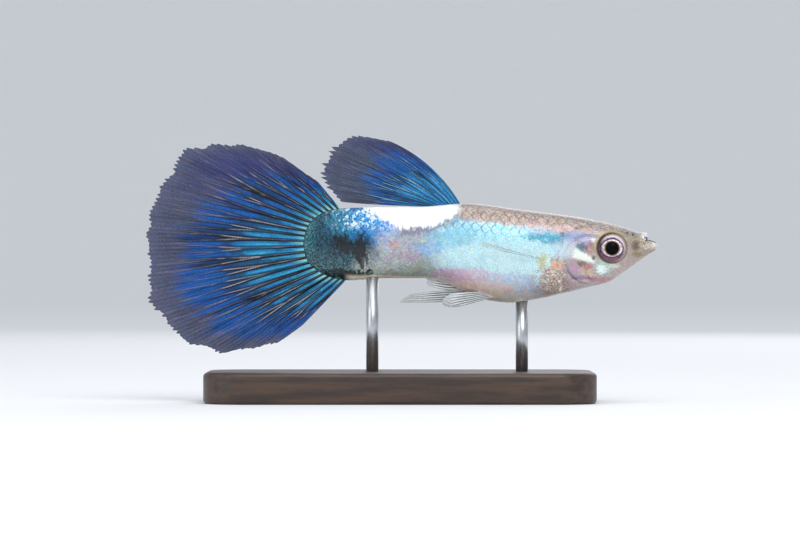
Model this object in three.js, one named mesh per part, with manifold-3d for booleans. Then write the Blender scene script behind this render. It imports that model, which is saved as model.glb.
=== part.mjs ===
// Fancy guppy, a male with a broad delta tail, as a life-size display model on a small stand.
// Millimetres, +X towards the snout, +Z up, the middle plane of the fish at y = 0.
// The origin is the middle of the stand's underside.
import * as THREE from "three";
import { mergeVertices } from "three/addons/utils/BufferGeometryUtils.js";
import Module from "manifold-3d";

const wasm = await Module();
wasm.setup();

// Driving sizes
const GAP = 0.3; // between touching pieces
const FIN_THICKNESS = 0.5;
const RAY_HEIGHT = 0.16; // how far a ray stands out of each face of its fin, at the root
const RAY_COLUMNS = 4; // across each ray: the membrane, then one side, the crest and the other side
const BODY_SIDES = 28;
const BODY_STEP = 1.0;
const HEAD_STEP = 0.5;

// The body's outline and girth, from the end of the flesh in the tail fin to the chin. half is the half
// width, level the height of the widest point, back and belly how square each half of the section is (2 is
// an ellipse).
const BODY = [
  { x: -9.5, top: 15.9, bottom: 14.9, half: 0.2, level: 15.4, back: 2.0, belly: 2.0 },
  { x: -9.1, top: 17.15, bottom: 13.75, half: 0.36, level: 15.4, back: 2.0, belly: 2.0 },
  { x: -8.2, top: 18.2, bottom: 12.85, half: 0.58, level: 15.4, back: 1.9, belly: 1.9 },
  { x: -6.7, top: 18.85, bottom: 12.1, half: 0.86, level: 15.4, back: 1.9, belly: 1.9 },
  { x: -5.0, top: 19.0, bottom: 11.85, half: 1.06, level: 15.4, back: 1.9, belly: 1.9 },
  { x: -1.5, top: 19.1, bottom: 12.05, half: 1.35, level: 15.5, back: 1.9, belly: 1.9 },
  { x: 2.4, top: 19.15, bottom: 12.05, half: 1.76, level: 15.5, back: 2.0, belly: 1.9 },
  { x: 4.4, top: 19.3, bottom: 11.6, half: 2.02, level: 15.3, back: 2.1, belly: 1.9 },
  { x: 6.6, top: 19.45, bottom: 10.6, half: 2.3, level: 15.0, back: 2.2, belly: 2.0 },
  { x: 8.8, top: 19.25, bottom: 9.85, half: 2.5, level: 14.7, back: 2.2, belly: 2.2 },
  { x: 10.8, top: 18.95, bottom: 9.65, half: 2.6, level: 14.6, back: 2.3, belly: 2.3 },
  { x: 13.2, top: 18.65, bottom: 9.97, half: 2.6, level: 14.6, back: 2.4, belly: 2.2 },
  { x: 15.6, top: 18.35, bottom: 10.5, half: 2.55, level: 14.8, back: 2.6, belly: 2.1 },
  { x: 18.1, top: 17.97, bottom: 11.15, half: 2.48, level: 15.0, back: 2.8, belly: 2.0 },
  { x: 20.2, top: 17.5, bottom: 11.66, half: 2.3, level: 15.2, back: 2.8, belly: 2.0 },
  { x: 22.0, top: 17.05, bottom: 12.78, half: 1.86, level: 15.2, back: 2.6, belly: 2.1 },
  { x: 23.3, top: 16.6, bottom: 13.72, half: 1.42, level: 15.2, back: 2.4, belly: 2.2 },
  { x: 24.2, top: 16.5, bottom: 14.38, half: 1.12, level: 15.4, back: 2.4, belly: 2.2 },
  { x: 24.8, top: 16.15, bottom: 14.72, half: 0.86, level: 15.4, back: 2.2, belly: 2.2 },
  { x: 25.1, top: 15.62, bottom: 15.0, half: 0.5, level: 15.32, back: 2.0, belly: 2.0 },
];

// Where the flesh is parted
const STEM_X = 1.2; // trunk from tail stem
const NAPE_ARC = { x: 24.0, z: 13.7, radius: 8.0 }; // head from trunk, an arc seen from the side
const GILL_COVER = { x: 18.45, z: 13.8, long: 2.35, high: 2.2, front: 18.2, thickness: 0.65 };

// The mouth turns up: its corner, the parting above the lower jaw, and the gape in front of the upper lip
const MOUTH_CORNER = { x: 23.4, z: 15.15 };
const JAW_JOINT = { x: 22.0, z: 12.5 };
const UPPER_LIP = { x: 23.85, z: 16.35, half: 0.86, slope: 0.25, radius: 0.27 };
const LOWER_LIP = { x: 24.72, z: 15.5, half: 0.72, slope: 0.42, radius: 0.2 };

const EYE = { x: 20.6, y: 1.6, z: 15.0, radius: 1.45, depth: 0.95 };
const NOSTRILS = [
  { x: 22.75, z: 16.35, radius: 0.17 },
  { x: 22.15, z: 16.5, radius: 0.14 },
];

// Tail fin: rays fan from an arc round the end of the flesh. arc is how far round it they start and fan how
// far they turn, in degrees; reach is their length at even steps from the lower edge to the upper.
const TAIL = {
  rays: 22,
  lower: { arc: 100, fan: 46 },
  upper: { arc: 88, fan: 50 },
  base: { x: -5.9, z: 15.5, long: 3.7, high: 3.65 },
  reach: [
    6.2, 8.9, 9.4, 10.6, 11.3, 12.9, 13.1, 13.5, 14.6, 14.9, 14.9, 15.3, 15.1, 15.6, 15.9, 15.5, 15.4,
    15.1, 14.9, 15.1, 15.1, 15.4, 14.9, 15.2, 15.0, 14.7, 14.9, 14.5, 14.1, 14.2, 14.3, 14.2, 12.8,
    12.5, 11.1, 10.4, 9.1, 8.0, 6.7, 4.3, 3.1,
  ],
};
// Dorsal fin: the rays that set its shape, from the lowest to the leading edge, as root, bend and tip
const DORSAL_RAYS = 9;
const DORSAL = [
  { root: [2.4, 19.1], bend: [-2.2, 19.2], tip: [-5.9, 19.55] },
  { root: [3.3, 19.15], bend: [-1.9, 20.7], tip: [-7.55, 21.9] },
  { root: [4.2, 19.2], bend: [-0.4, 22.1], tip: [-7.0, 24.3] },
  { root: [5.1, 19.25], bend: [1.7, 23.3], tip: [-4.7, 26.0] },
  { root: [5.95, 19.25], bend: [3.4, 23.6], tip: [-1.0, 25.5] },
];
// Anal fin: the long folded rays of a male and the short rays behind them
const ANAL = { root: [6.9, 10.45], bend: [3.0, 10.3], tip: [0.25, 10.1], high: 1.1, slant: 1.1 };
const ANAL_REAR = { root: [5.6, 11.4], bend: [4.2, 11.4], tip: [2.6, 11.8], high: 1.0, slant: 0 };
const PECTORAL = { x: 14.2, z: 13.7, length: 6.9, rays: 7, spread: 9, lift: 11, out: 15, root: 0.45 };
const PELVIC = { x: 8.4, y: 1.15, z: 10.45, length: 4.4, rays: 4, spread: 6, lift: -9, out: 5, root: 0.4 };

const STAND = { length: 38, width: 18, thickness: 3, corner: 4, edge: 0.4 };
const RODS = { front: 11.9, rear: -2.7, radius: 0.6 };

// A value of the table at x, on a smooth curve that doesn't overshoot
function along(table, key, x) {
  const last = table.length - 1;
  if (x <= table[0].x) return table[0][key];
  if (x >= table[last].x) return table[last][key];
  const i = table.findIndex((row) => row.x > x) - 1;
  const slope = (a, b) => (table[b][key] - table[a][key]) / (table[b].x - table[a].x);
  const tangent = (k) => {
    if (k === 0) return slope(0, 1);
    if (k === last) return slope(last - 1, last);
    const before = slope(k - 1, k);
    const after = slope(k, k + 1);
    return before * after <= 0 ? 0 : (2 * before * after) / (before + after);
  };
  const span = table[i + 1].x - table[i].x;
  const u = (x - table[i].x) / span;
  return (
    (2 * u ** 3 - 3 * u ** 2 + 1) * table[i][key] +
    (u ** 3 - 2 * u ** 2 + u) * span * tangent(i) +
    (3 * u ** 2 - 2 * u ** 3) * table[i + 1][key] +
    (u ** 3 - u ** 2) * span * tangent(i + 1)
  );
}

// A value between the middle two of four, on a curve through them
function catmull(u, [p0, p1, p2, p3]) {
  const square = 2 * p0 - 5 * p1 + 4 * p2 - p3;
  const cube = 3 * p1 - p0 - 3 * p2 + p3;
  return (2 * p1 + (p2 - p0) * u + square * u ** 2 + cube * u ** 3) / 2;
}

const smooth = (a, b, v) => THREE.MathUtils.smoothstep(v, a, b);
const mix = THREE.MathUtils.lerp;
const radians = THREE.MathUtils.degToRad;

// The half width of the body's skin at a place seen from the side
function skinY(x, z) {
  const level = along(BODY, "level", x);
  const upper = z > level;
  const reach = upper ? along(BODY, "top", x) - level : level - along(BODY, "bottom", x);
  const power = along(BODY, upper ? "back" : "belly", x);
  const share = Math.min(1, Math.abs(z - level) / reach);
  return along(BODY, "half", x) * (1 - share ** power) ** (1 / power);
}

// A closed mesh from vertices and triangles
function closedMesh(points, faces) {
  const geometry = new THREE.BufferGeometry();
  geometry.setAttribute("position", new THREE.Float32BufferAttribute(points.flat(), 3));
  geometry.setIndex(faces.flat());
  return geometry;
}

function solidOf(geometry) {
  const bare = geometry.clone();
  bare.deleteAttribute("normal");
  bare.deleteAttribute("uv");
  const merged = mergeVertices(bare, 1e-4);
  const triVerts = new Uint32Array(merged.index.array);
  const vertProperties = new Float32Array(merged.attributes.position.array);
  return new wasm.Manifold(new wasm.Mesh({ numProp: 3, vertProperties, triVerts }));
}

function geometryOf(solid) {
  const mesh = solid.getMesh();
  const positions = [];
  for (let i = 0; i < mesh.numVert; i++) {
    positions.push(...mesh.vertProperties.subarray(i * mesh.numProp, i * mesh.numProp + 3));
  }
  const geometry = new THREE.BufferGeometry();
  geometry.setAttribute("position", new THREE.Float32BufferAttribute(positions, 3));
  geometry.setIndex(new THREE.BufferAttribute(mesh.triVerts, 1));
  return geometry;
}

// The largest closed surface of a solid, which drops loose scraps
function largest(solid) {
  return solid.decompose().reduce((a, b) => (b.volume() > a.volume() ? b : a));
}

// A tube through rings of equally many points, closed by a fan at each end
function loft(rings) {
  const sides = rings[0].length;
  const points = rings.flat();
  const faces = [];
  for (let r = 0; r + 1 < rings.length; r++) {
    for (let k = 0; k < sides; k++) {
      const a = r * sides + k;
      const b = r * sides + ((k + 1) % sides);
      faces.push([a, b, a + sides], [b, b + sides, a + sides]);
    }
  }
  const middle = (ring) => [0, 1, 2].map((i) => ring.reduce((sum, p) => sum + p[i], 0) / sides);
  const first = points.push(middle(rings[0])) - 1;
  const last = points.push(middle(rings.at(-1))) - 1;
  const end = (rings.length - 1) * sides;
  for (let k = 0; k < sides; k++) {
    const next = (k + 1) % sides;
    faces.push([first, next, k], [last, end + k, end + next]);
  }
  return closedMesh(points, faces);
}

// The whole body as one tube, grown or shrunk on all sides
function bodySolid(grow) {
  const first = BODY[0].x;
  const last = BODY.at(-1).x;
  const places = [first];
  while (places.at(-1) < last) {
    const x = places.at(-1);
    const fine = x > NAPE_ARC.x - NAPE_ARC.radius || x < BODY[3].x;
    places.push(Math.min(last, x + (fine ? HEAD_STEP : BODY_STEP)));
  }
  const power = (value, exponent) => Math.sign(value) * Math.abs(value) ** exponent;
  const rings = places.map((x) => {
    const at = (key) => along(BODY, key, x);
    const shift = x === first ? -grow : x === last ? grow : 0;
    return Array.from({ length: BODY_SIDES }, (_, k) => {
      const turn = (2 * Math.PI * k) / BODY_SIDES;
      const upper = Math.sin(turn) >= 0;
      const exponent = 2 / at(upper ? "back" : "belly");
      const reach = (upper ? at("top") - at("level") : at("level") - at("bottom")) + grow;
      const y = Math.max(0.05, at("half") + grow) * power(Math.cos(turn), exponent);
      return [x + shift, y, at("level") + Math.max(0.05, reach) * power(Math.sin(turn), exponent)];
    });
  });
  return solidOf(loft(rings));
}

// A prism across the fish from an outline seen from the side
function acrossPrism(outline, low, high) {
  const shape = new THREE.Shape(outline.map(([x, z]) => new THREE.Vector2(x, z)));
  const geometry = new THREE.ExtrudeGeometry(shape, { depth: high - low, bevelEnabled: false });
  geometry.rotateX(Math.PI / 2);
  geometry.translate(0, high, 0);
  return solidOf(geometry);
}

// A smooth ball stretched along the axes
function ball(radii, place, segments) {
  const geometry = new THREE.SphereGeometry(1, segments, Math.round(segments * 0.6));
  geometry.rotateX(Math.PI / 2);
  geometry.scale(...radii);
  geometry.translate(...place);
  return solidOf(geometry);
}

// A closed sheet: at(i, j) gives its middle point, the way its faces look and its half thickness
function sheet(columns, rows, at) {
  const points = [];
  for (const side of [1, -1]) {
    for (let i = 0; i <= columns; i++) {
      for (let j = 0; j <= rows; j++) {
        const { middle, normal, half } = at(i, j);
        points.push(middle.map((v, k) => v + side * half * normal[k]));
      }
    }
  }
  const front = (i, j) => i * (rows + 1) + j;
  const back = (i, j) => (columns + 1) * (rows + 1) + front(i, j);
  const faces = [];
  for (let i = 0; i < columns; i++) {
    for (let j = 0; j < rows; j++) {
      const [a, b, c, d] = [[i, j], [i + 1, j], [i + 1, j + 1], [i, j + 1]];
      faces.push([front(...a), front(...b), front(...c)], [front(...a), front(...c), front(...d)]);
      faces.push([back(...a), back(...c), back(...b)], [back(...a), back(...d), back(...c)]);
    }
  }
  const rim = [];
  for (let i = 0; i < columns; i++) rim.push([i, 0]);
  for (let j = 0; j < rows; j++) rim.push([columns, j]);
  for (let i = columns; i > 0; i--) rim.push([i, rows]);
  for (let j = rows; j > 0; j--) rim.push([0, j]);
  rim.forEach((place, k) => {
    const next = rim[(k + 1) % rim.length];
    faces.push([front(...place), back(...place), back(...next)]);
    faces.push([front(...place), back(...next), front(...next)]);
  });
  const solid = solidOf(closedMesh(points, faces));
  if (solid.volume() > 0) return solid;
  return solidOf(closedMesh(points, faces.map(([a, b, c]) => [a, c, b])));
}

// A point on the curve that leaves the root, bends and ends at the tip. Before the root it runs straight.
function onRay({ root, bend, tip }, t) {
  const forward = Math.max(0, t);
  const start = Math.min(0, t);
  return [0, 1].map((k) => {
    const back = 1 - forward;
    const curve = back ** 2 * root[k] + 2 * forward * back * bend[k] + forward ** 2 * tip[k];
    return curve + 2 * start * (bend[k] - root[k]);
  });
}

// Fins thin towards their margin
const finHalf = (t) => (FIN_THICKNESS / 2) * (1 - 0.55 * smooth(0.8, 1, t));

// How far a ray stands out of the membrane at a column: one crest near the root, two beyond the fork
function rayHeight(column, t) {
  const forked = smooth(0.3, 0.6, t);
  const crest = mix(1, 0.3, forked);
  const flank = mix(0.3, 1, forked);
  return RAY_HEIGHT * mix(1, 0.5, Math.max(0, t)) * [0, flank, crest, flank][column % RAY_COLUMNS];
}

// How far a column's end passes the fin's outline: split ray tips stand out and the membrane falls back
function fringe(column, depth) {
  const ray = Math.floor(column / RAY_COLUMNS);
  const tooth = [-1, 0.8, -0.2, 0.8][column % RAY_COLUMNS];
  return depth * (0.5 * tooth + 0.6 * Math.sin(0.9 * ray) + 0.5 * Math.sin(2.3 * ray + 1));
}

// A fin on rays: rayAt(s) gives the ray at a place across the fin, 0 to 1, and wave(s, t) how it sways
function rayFin({ rays, rows, from, rayAt, wave, teeth, plump = 1 }) {
  const columns = rays * RAY_COLUMNS;
  return sheet(columns, rows, (i, j) => {
    const s = i / columns;
    const t = mix(from, 1, j / rows);
    const [x, z] = onRay(rayAt(s), t + (j === rows ? fringe(i, teeth) : 0));
    return { middle: [x, wave(s, t), z], normal: [0, 1, 0], half: plump * (finHalf(t) + rayHeight(i, t)) };
  });
}

// Tail fin
function tailRay(s) {
  const across = 2 * s - 1; // -1 at the lower edge, 1 at the upper
  const { arc, fan } = across < 0 ? TAIL.lower : TAIL.upper;
  const turn = radians(-across * fan);
  const around = radians(across * arc);
  const { base, reach } = TAIL;
  const root = [base.x - base.long * Math.cos(around), base.z + base.high * Math.sin(around)];
  const place = s * (reach.length - 1);
  const step = Math.min(Math.floor(place), reach.length - 2);
  const length = mix(reach[step], reach[step + 1], place - step);
  const way = [-Math.cos(turn), -Math.sin(turn)];
  return {
    root,
    bend: root.map((v, k) => v + (way[k] * length) / 2),
    tip: root.map((v, k) => v + way[k] * length),
  };
}

function tailFin() {
  return rayFin({
    rays: TAIL.rays,
    rows: 8,
    from: -0.12,
    rayAt: tailRay,
    wave: (s, t) => 0.7 * Math.max(0, t) ** 2 * Math.sin(5.2 * s - 0.7),
    teeth: 0.01,
  });
}

// Dorsal fin
function dorsalRay(s) {
  const place = s * (DORSAL.length - 1);
  const i = Math.min(DORSAL.length - 2, Math.floor(place));
  const row = (k) => DORSAL[THREE.MathUtils.clamp(k, 0, DORSAL.length - 1)];
  const blend = (key) =>
    [0, 1].map((k) => catmull(place - i, [-1, 0, 1, 2].map((step) => row(i + step)[key][k])));
  return { root: blend("root"), bend: blend("bend"), tip: blend("tip") };
}

function dorsalFin() {
  return rayFin({
    rays: DORSAL_RAYS,
    rows: 8,
    from: -0.12,
    rayAt: dorsalRay,
    wave: (s, t) => -0.55 * Math.max(0, t) ** 2 * Math.cos(3.4 * s),
    teeth: 0.035,
  });
}

// Anal fin
function analFin() {
  const blade = ({ root, bend, tip, high, slant }, rays) =>
    rayFin({
      rays,
      rows: 8,
      from: -0.1,
      rayAt: (s) => {
        const drop = (share) => (s - 0.5) * high * share;
        return {
          root: [root[0], root[1] + drop(1)],
          bend: [bend[0], bend[1] + drop(1.1)],
          tip: [tip[0] + (s - 0.5) * slant, tip[1] + drop(0.7)],
        };
      },
      wave: () => 0,
      teeth: 0.03,
      plump: 1.15,
    });
  return blade(ANAL, 3).add(blade(ANAL_REAR, 2));
}

// A paired fin on one side, -1 for the right and 1 for the left, that trails back and out from its root
function pairedFin(fin, side, y) {
  const out = radians(fin.out);
  const lift = radians(fin.lift);
  const back = new THREE.Vector3(-Math.cos(out) * Math.cos(lift), side * Math.sin(out), Math.sin(lift));
  const up = new THREE.Vector3(0, 0, 1).addScaledVector(back, -back.z).normalize();
  const normal = new THREE.Vector3().crossVectors(back, up).toArray();
  const root = new THREE.Vector3(fin.x, side * y, fin.z);
  const columns = fin.rays * RAY_COLUMNS;
  const rows = 5;
  return sheet(columns, rows, (i, j) => {
    const across = (2 * i) / columns - 1;
    const t = mix(-0.22, 1, j / rows);
    const turn = radians(across * fin.spread);
    const length = fin.length * (1 - 0.3 * Math.abs(across) ** 2.5 + (j === rows ? fringe(i, 0.02) : 0));
    const middle = root
      .clone()
      .addScaledVector(up, across * fin.root + Math.sin(turn) * t * length)
      .addScaledVector(back, Math.cos(turn) * t * length);
    const rise = 0.6 * smooth(0.05, 0.25, t); // the rays rise out of a smooth root
    return { middle: middle.toArray(), normal, half: finHalf(t) + rise * rayHeight(i, t) };
  });
}

// Flesh
const body = bodySolid(0);
const bodyClear = bodySolid(GAP);
const insideGill = bodySolid(-GILL_COVER.thickness);
const insideGillClear = bodySolid(-GILL_COVER.thickness - GAP);
const FAR = 12;

const arcOutline = (radius) => {
  const { x, z } = NAPE_ARC;
  const outline = [[x + FAR, z + FAR], [x, z + FAR]];
  for (let k = 0; k <= 24; k++) {
    const turn = Math.PI * (0.5 + k / 24);
    outline.push([x + radius * Math.cos(turn), z + radius * Math.sin(turn)]);
  }
  return [...outline, [x, z - FAR], [x + FAR, z - FAR]];
};

const gillOutline = (grow) => {
  const { x, z, long, high, front } = GILL_COVER;
  const outline = [[front + grow, z + high + grow]];
  for (let k = 0; k <= 20; k++) {
    const turn = Math.PI * (0.5 + k / 20);
    outline.push([x + (long + grow) * Math.cos(turn), z + (high + grow) * Math.sin(turn)]);
  }
  return [...outline.filter(([px]) => px <= front + grow), [front + grow, z - high - grow]];
};

// In front of the joint and under the parting is the lower jaw; the gape is cleared before the upper lip
const partingPoints = (shift) => [
  [JAW_JOINT.x - shift, JAW_JOINT.z - 1.5],
  [JAW_JOINT.x - shift, JAW_JOINT.z],
  [MOUTH_CORNER.x - shift, MOUTH_CORNER.z + shift * 0.4],
];
const jawRegion = () => acrossPrism([...partingPoints(0), [24.2, 15.35], [26, 15.75], [26, 12]], -FAR, FAR);
const faceFrontRegion = () => {
  const gape = [[23.75, 15.9], [23.98, 16.1], [24.05, 18], [27, 18], [27, 10]];
  return acrossPrism([...partingPoints(GAP), ...gape], -FAR, FAR);
};

// A lip: a roll that follows the snout's edge, from one corner of the mouth round to the other
function lip({ x: frontX, z, half, slope, radius }) {
  const points = [];
  for (let k = 0; k <= 10; k++) {
    const turn = Math.PI * (k / 10 - 0.5);
    const x = frontX - 0.9 * (1 - Math.cos(turn));
    points.push(new THREE.Vector3(x, half * Math.sin(turn), z + slope * (x - frontX)));
  }
  const path = new THREE.CatmullRomCurve3(points);
  const ring = new THREE.Shape();
  ring.absarc(0, 0, radius, 0, 2 * Math.PI);
  return solidOf(new THREE.ExtrudeGeometry(ring, { extrudePath: path, steps: 14, curveSegments: 4 }));
}

const eyeBall = (side, grow) =>
  ball([EYE.radius + grow, EYE.depth + grow, EYE.radius + grow], [EYE.x, side * EYE.y, EYE.z], 16);

function headSolid() {
  let head = body.intersect(acrossPrism(arcOutline(NAPE_ARC.radius - GAP), -FAR, FAR));
  head = head.subtract(faceFrontRegion());
  head = head.add(lip(UPPER_LIP));
  for (const side of [-1, 1]) {
    head = head.subtract(eyeBall(side, GAP));
    const well = acrossPrism(gillOutline(GAP), side < 0 ? -FAR : 0, side < 0 ? 0 : FAR);
    head = head.subtract(well.subtract(insideGillClear));
    for (const { x, z, radius } of NOSTRILS) {
      head = head.subtract(ball([radius, radius, radius], [x, side * skinY(x, z), z], 8));
    }
  }
  return head;
}

function gillCover(side) {
  const region = acrossPrism(gillOutline(0), side < 0 ? -FAR : 0, side < 0 ? 0 : FAR);
  return body.intersect(region).subtract(insideGill);
}

function trunkSolid() {
  const front = acrossPrism(arcOutline(NAPE_ARC.radius), -FAR, FAR);
  const box = new THREE.BoxGeometry(60, 20, 30);
  box.translate(STEM_X - GAP / 2 + 30, 0, 15);
  const gills = [-1, 1].map((side) =>
    acrossPrism(gillOutline(GAP), side < 0 ? -FAR : 0, side < 0 ? 0 : FAR).subtract(insideGillClear),
  );
  return gills.reduce((solid, gill) => solid.subtract(gill), body.intersect(solidOf(box)).subtract(front));
}

function stemSolid() {
  const box = new THREE.BoxGeometry(60, 20, 30);
  box.translate(STEM_X - GAP * 1.5 - 30, 0, 15);
  return body.intersect(solidOf(box));
}

function jawSolid() {
  return body.intersect(jawRegion()).add(lip(LOWER_LIP));
}

// Stand
function standBase() {
  const { length, width, thickness, corner, edge } = STAND;
  const shape = new THREE.Shape();
  const x = length / 2 - edge;
  const y = width / 2 - edge;
  shape.moveTo(-x + corner, -y);
  shape.lineTo(x - corner, -y);
  shape.absarc(x - corner, -y + corner, corner, -Math.PI / 2, 0);
  shape.lineTo(x, y - corner);
  shape.absarc(x - corner, y - corner, corner, 0, Math.PI / 2);
  shape.lineTo(-x + corner, y);
  shape.absarc(-x + corner, y - corner, corner, Math.PI / 2, Math.PI);
  shape.lineTo(-x, -y + corner);
  shape.absarc(-x + corner, -y + corner, corner, Math.PI, 1.5 * Math.PI);
  const geometry = new THREE.ExtrudeGeometry(shape, {
    depth: thickness - 2 * edge,
    bevelThickness: edge,
    bevelSize: edge,
    bevelSegments: 1,
    curveSegments: 8,
  });
  geometry.translate(0, 0, edge);
  return solidOf(geometry);
}

function standRod(x) {
  const top = along(BODY, "level", x);
  const bottom = STAND.thickness + GAP;
  const geometry = new THREE.CylinderGeometry(RODS.radius, RODS.radius, top - bottom, 20);
  geometry.rotateX(Math.PI / 2);
  geometry.translate(x, 0, (top + bottom) / 2);
  return solidOf(geometry).subtract(bodyClear);
}

// Finishes
const finish = (color, roughness, metalness) =>
  new THREE.MeshStandardMaterial({ color, roughness, metalness });
const SKIN = finish(0x9fb4bc, 0.4, 0.1);
const HEAD_SKIN = finish(0xa4968c, 0.45, 0.05);
const TAIL_SKIN = finish(0x1d5f80, 0.4, 0.15);
const BLUE_FIN = finish(0x2c66a8, 0.45, 0.1);
const CLEAR_FIN = finish(0xb8bdbd, 0.4, 0);
const EYE_GLOSS = finish(0x14121a, 0.1, 0);
const BASE_FINISH = finish(0x26221f, 0.5, 0);
const STEEL = finish(0xb9bdc2, 0.3, 1);

const model = new THREE.Group();

function place(name, solid, material) {
  const mesh = new THREE.Mesh(geometryOf(largest(solid)), material);
  mesh.name = name;
  model.add(mesh);
}

const SIDES = { right: -1, left: 1 };

place("head", headSolid(), HEAD_SKIN);
place("lower_jaw", jawSolid(), HEAD_SKIN);
place("trunk", trunkSolid(), SKIN);
place("tail_stem", stemSolid(), TAIL_SKIN);
place("tail_fin", tailFin().subtract(bodyClear), BLUE_FIN);
place("dorsal_fin", dorsalFin().subtract(bodyClear), BLUE_FIN);
place("anal_fin", analFin().subtract(bodyClear), CLEAR_FIN);
for (const [word, side] of Object.entries(SIDES)) {
  place(`eye_${word}`, eyeBall(side, 0), EYE_GLOSS);
  place(`gill_cover_${word}`, gillCover(side), HEAD_SKIN);
  const pectoral = pairedFin(PECTORAL, side, skinY(PECTORAL.x, PECTORAL.z));
  place(`pectoral_fin_${word}`, pectoral.subtract(bodyClear), CLEAR_FIN);
  place(`pelvic_fin_${word}`, pairedFin(PELVIC, side, PELVIC.y).subtract(bodyClear), CLEAR_FIN);
}
place("stand_base", standBase(), BASE_FINISH);
place("stand_rod_front", standRod(RODS.front), STEEL);
place("stand_rod_rear", standRod(RODS.rear), STEEL);

export default model;
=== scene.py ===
"""Fancy guppy, a male with a broad delta tail, as a life-size display model on a small stand.

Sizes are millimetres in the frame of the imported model: +X towards the snout, +Z up, the middle plane of
the fish at y = 0 and its right side, the one that faces the camera, at -y. Blender's own unit is the metre.
"""

import math
from functools import partial

import bmesh
import bpy
import numpy as np
from mathutils import Matrix, Vector


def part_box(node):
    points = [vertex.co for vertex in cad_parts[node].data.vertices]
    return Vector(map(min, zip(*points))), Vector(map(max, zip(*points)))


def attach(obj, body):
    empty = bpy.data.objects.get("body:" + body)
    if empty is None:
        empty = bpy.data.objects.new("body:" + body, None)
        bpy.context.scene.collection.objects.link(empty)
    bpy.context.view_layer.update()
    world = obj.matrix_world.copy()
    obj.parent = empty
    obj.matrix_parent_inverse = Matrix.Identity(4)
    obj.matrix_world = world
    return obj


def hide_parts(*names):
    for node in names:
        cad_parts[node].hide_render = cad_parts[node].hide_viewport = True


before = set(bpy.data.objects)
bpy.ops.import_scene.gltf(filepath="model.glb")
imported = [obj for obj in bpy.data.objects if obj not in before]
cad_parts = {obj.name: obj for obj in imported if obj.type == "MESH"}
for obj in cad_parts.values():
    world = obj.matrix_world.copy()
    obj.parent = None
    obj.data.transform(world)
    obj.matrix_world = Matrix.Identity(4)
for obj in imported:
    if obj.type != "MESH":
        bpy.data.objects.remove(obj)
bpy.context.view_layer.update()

bl_info = {
    "name": "Fancy Guppy Display Model",
    "version": (1, 0, 0),
    "blender": (4, 5, 0),
    "location": "3D View > Sidebar > Guppy",
    "description": "Builds a life-size fancy guppy on its stand, from the skin and scales out to the fins",
    "category": "Object",
}

MM = 0.001
SIDES = {"right": -1, "left": 1}

# The body from the end of the flesh in the tail fin to the chin: top and bottom outline, half width, level
# of the widest point, and how square each half of the section is (2 is an ellipse)
BODY_KEYS = ("x", "top", "bottom", "half", "level", "back", "belly")
BODY = np.array([
    (-9.5, 15.9, 14.9, 0.2, 15.4, 2.0, 2.0),
    (-9.1, 17.15, 13.75, 0.36, 15.4, 2.0, 2.0),
    (-8.2, 18.2, 12.85, 0.58, 15.4, 1.9, 1.9),
    (-6.7, 18.85, 12.1, 0.86, 15.4, 1.9, 1.9),
    (-5.0, 19.0, 11.85, 1.06, 15.4, 1.9, 1.9),
    (-1.5, 19.1, 12.05, 1.35, 15.5, 1.9, 1.9),
    (2.4, 19.15, 12.05, 1.76, 15.5, 2.0, 1.9),
    (4.4, 19.3, 11.6, 2.02, 15.3, 2.1, 1.9),
    (6.6, 19.45, 10.6, 2.3, 15.0, 2.2, 2.0),
    (8.8, 19.25, 9.85, 2.5, 14.7, 2.2, 2.2),
    (10.8, 18.95, 9.65, 2.6, 14.6, 2.3, 2.3),
    (13.2, 18.65, 9.97, 2.6, 14.6, 2.4, 2.2),
    (15.6, 18.35, 10.5, 2.55, 14.8, 2.6, 2.1),
    (18.1, 17.97, 11.15, 2.48, 15.0, 2.8, 2.0),
    (20.2, 17.5, 11.66, 2.3, 15.2, 2.8, 2.0),
    (22.0, 17.05, 12.78, 1.86, 15.2, 2.6, 2.1),
    (23.3, 16.6, 13.72, 1.42, 15.2, 2.4, 2.2),
    (24.2, 16.5, 14.38, 1.12, 15.4, 2.4, 2.2),
    (24.8, 16.15, 14.72, 0.86, 15.4, 2.2, 2.2),
    (25.1, 15.62, 15.0, 0.5, 15.32, 2.0, 2.0),
])
BODY_ENDS = (-9.5, 25.1)
END_ROUNDING = (0.25, 0.2)  # how far the skin rounds off at the tail and at the chin
COAT_DEPTH = 0.06  # the skin lies this far inside the solids where scales cover it

# Head
GILL = {"x": 18.45, "z": 13.8, "long": 2.35, "high": 2.2}
EYE = {"x": 20.6, "y": 1.62, "z": 15.02, "radius": 1.43, "depth": 0.93, "pupil": 0.63}
NOSTRILS = ((22.75, 16.35, 0.15), (22.15, 16.5, 0.12))
LOWER_LIP = ((23.35, 23.7, 25.1), (15.2, 15.66, 15.64))  # x and z along the lower lip's edge
UPPER_LIP = ((23.35, 24.12, 24.2, 25.2), (15.2, 16.02, 17.0, 17.0))
SNOUT_FRONT = 24.08
SNOUT_DROP = 0.57  # how far the outline steps down in front of the upper lip
# Where the skin's loops of faces lie: share of the loops, and x
SKIN_STOPS = ((0, 0.03, 0.42, 0.76, 0.8, 0.97, 1), (-9.5, -9.1, 16.0, 22.6, 23.6, 25.0, 25.1))

# Scales
SCALE_ROWS = 36  # round the body
SCALE_PITCH = 0.93  # from one scale to the next along the trunk
SCALE_SPAN = (-8.7, 19.6)  # each row begins under the gill cover and ends on the tail fin
SCALE_LENGTH = 1.72  # in pitches
SCALE_HALF_WIDTH = 1.12 / SCALE_ROWS  # as a share of the girth
SCALE_PATCH = 0.0015  # half the side of a scale's patch in the baking map
# A plate's rows of faces, narrow along its margins so that these don't bend the shading inside them
PLATE_ALONG = (0, 0.36, 0.7, 0.98, 1)
PLATE_ACROSS = (-1, -0.97, -0.65, -0.32, 0, 0.32, 0.65, 0.97, 1)

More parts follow.
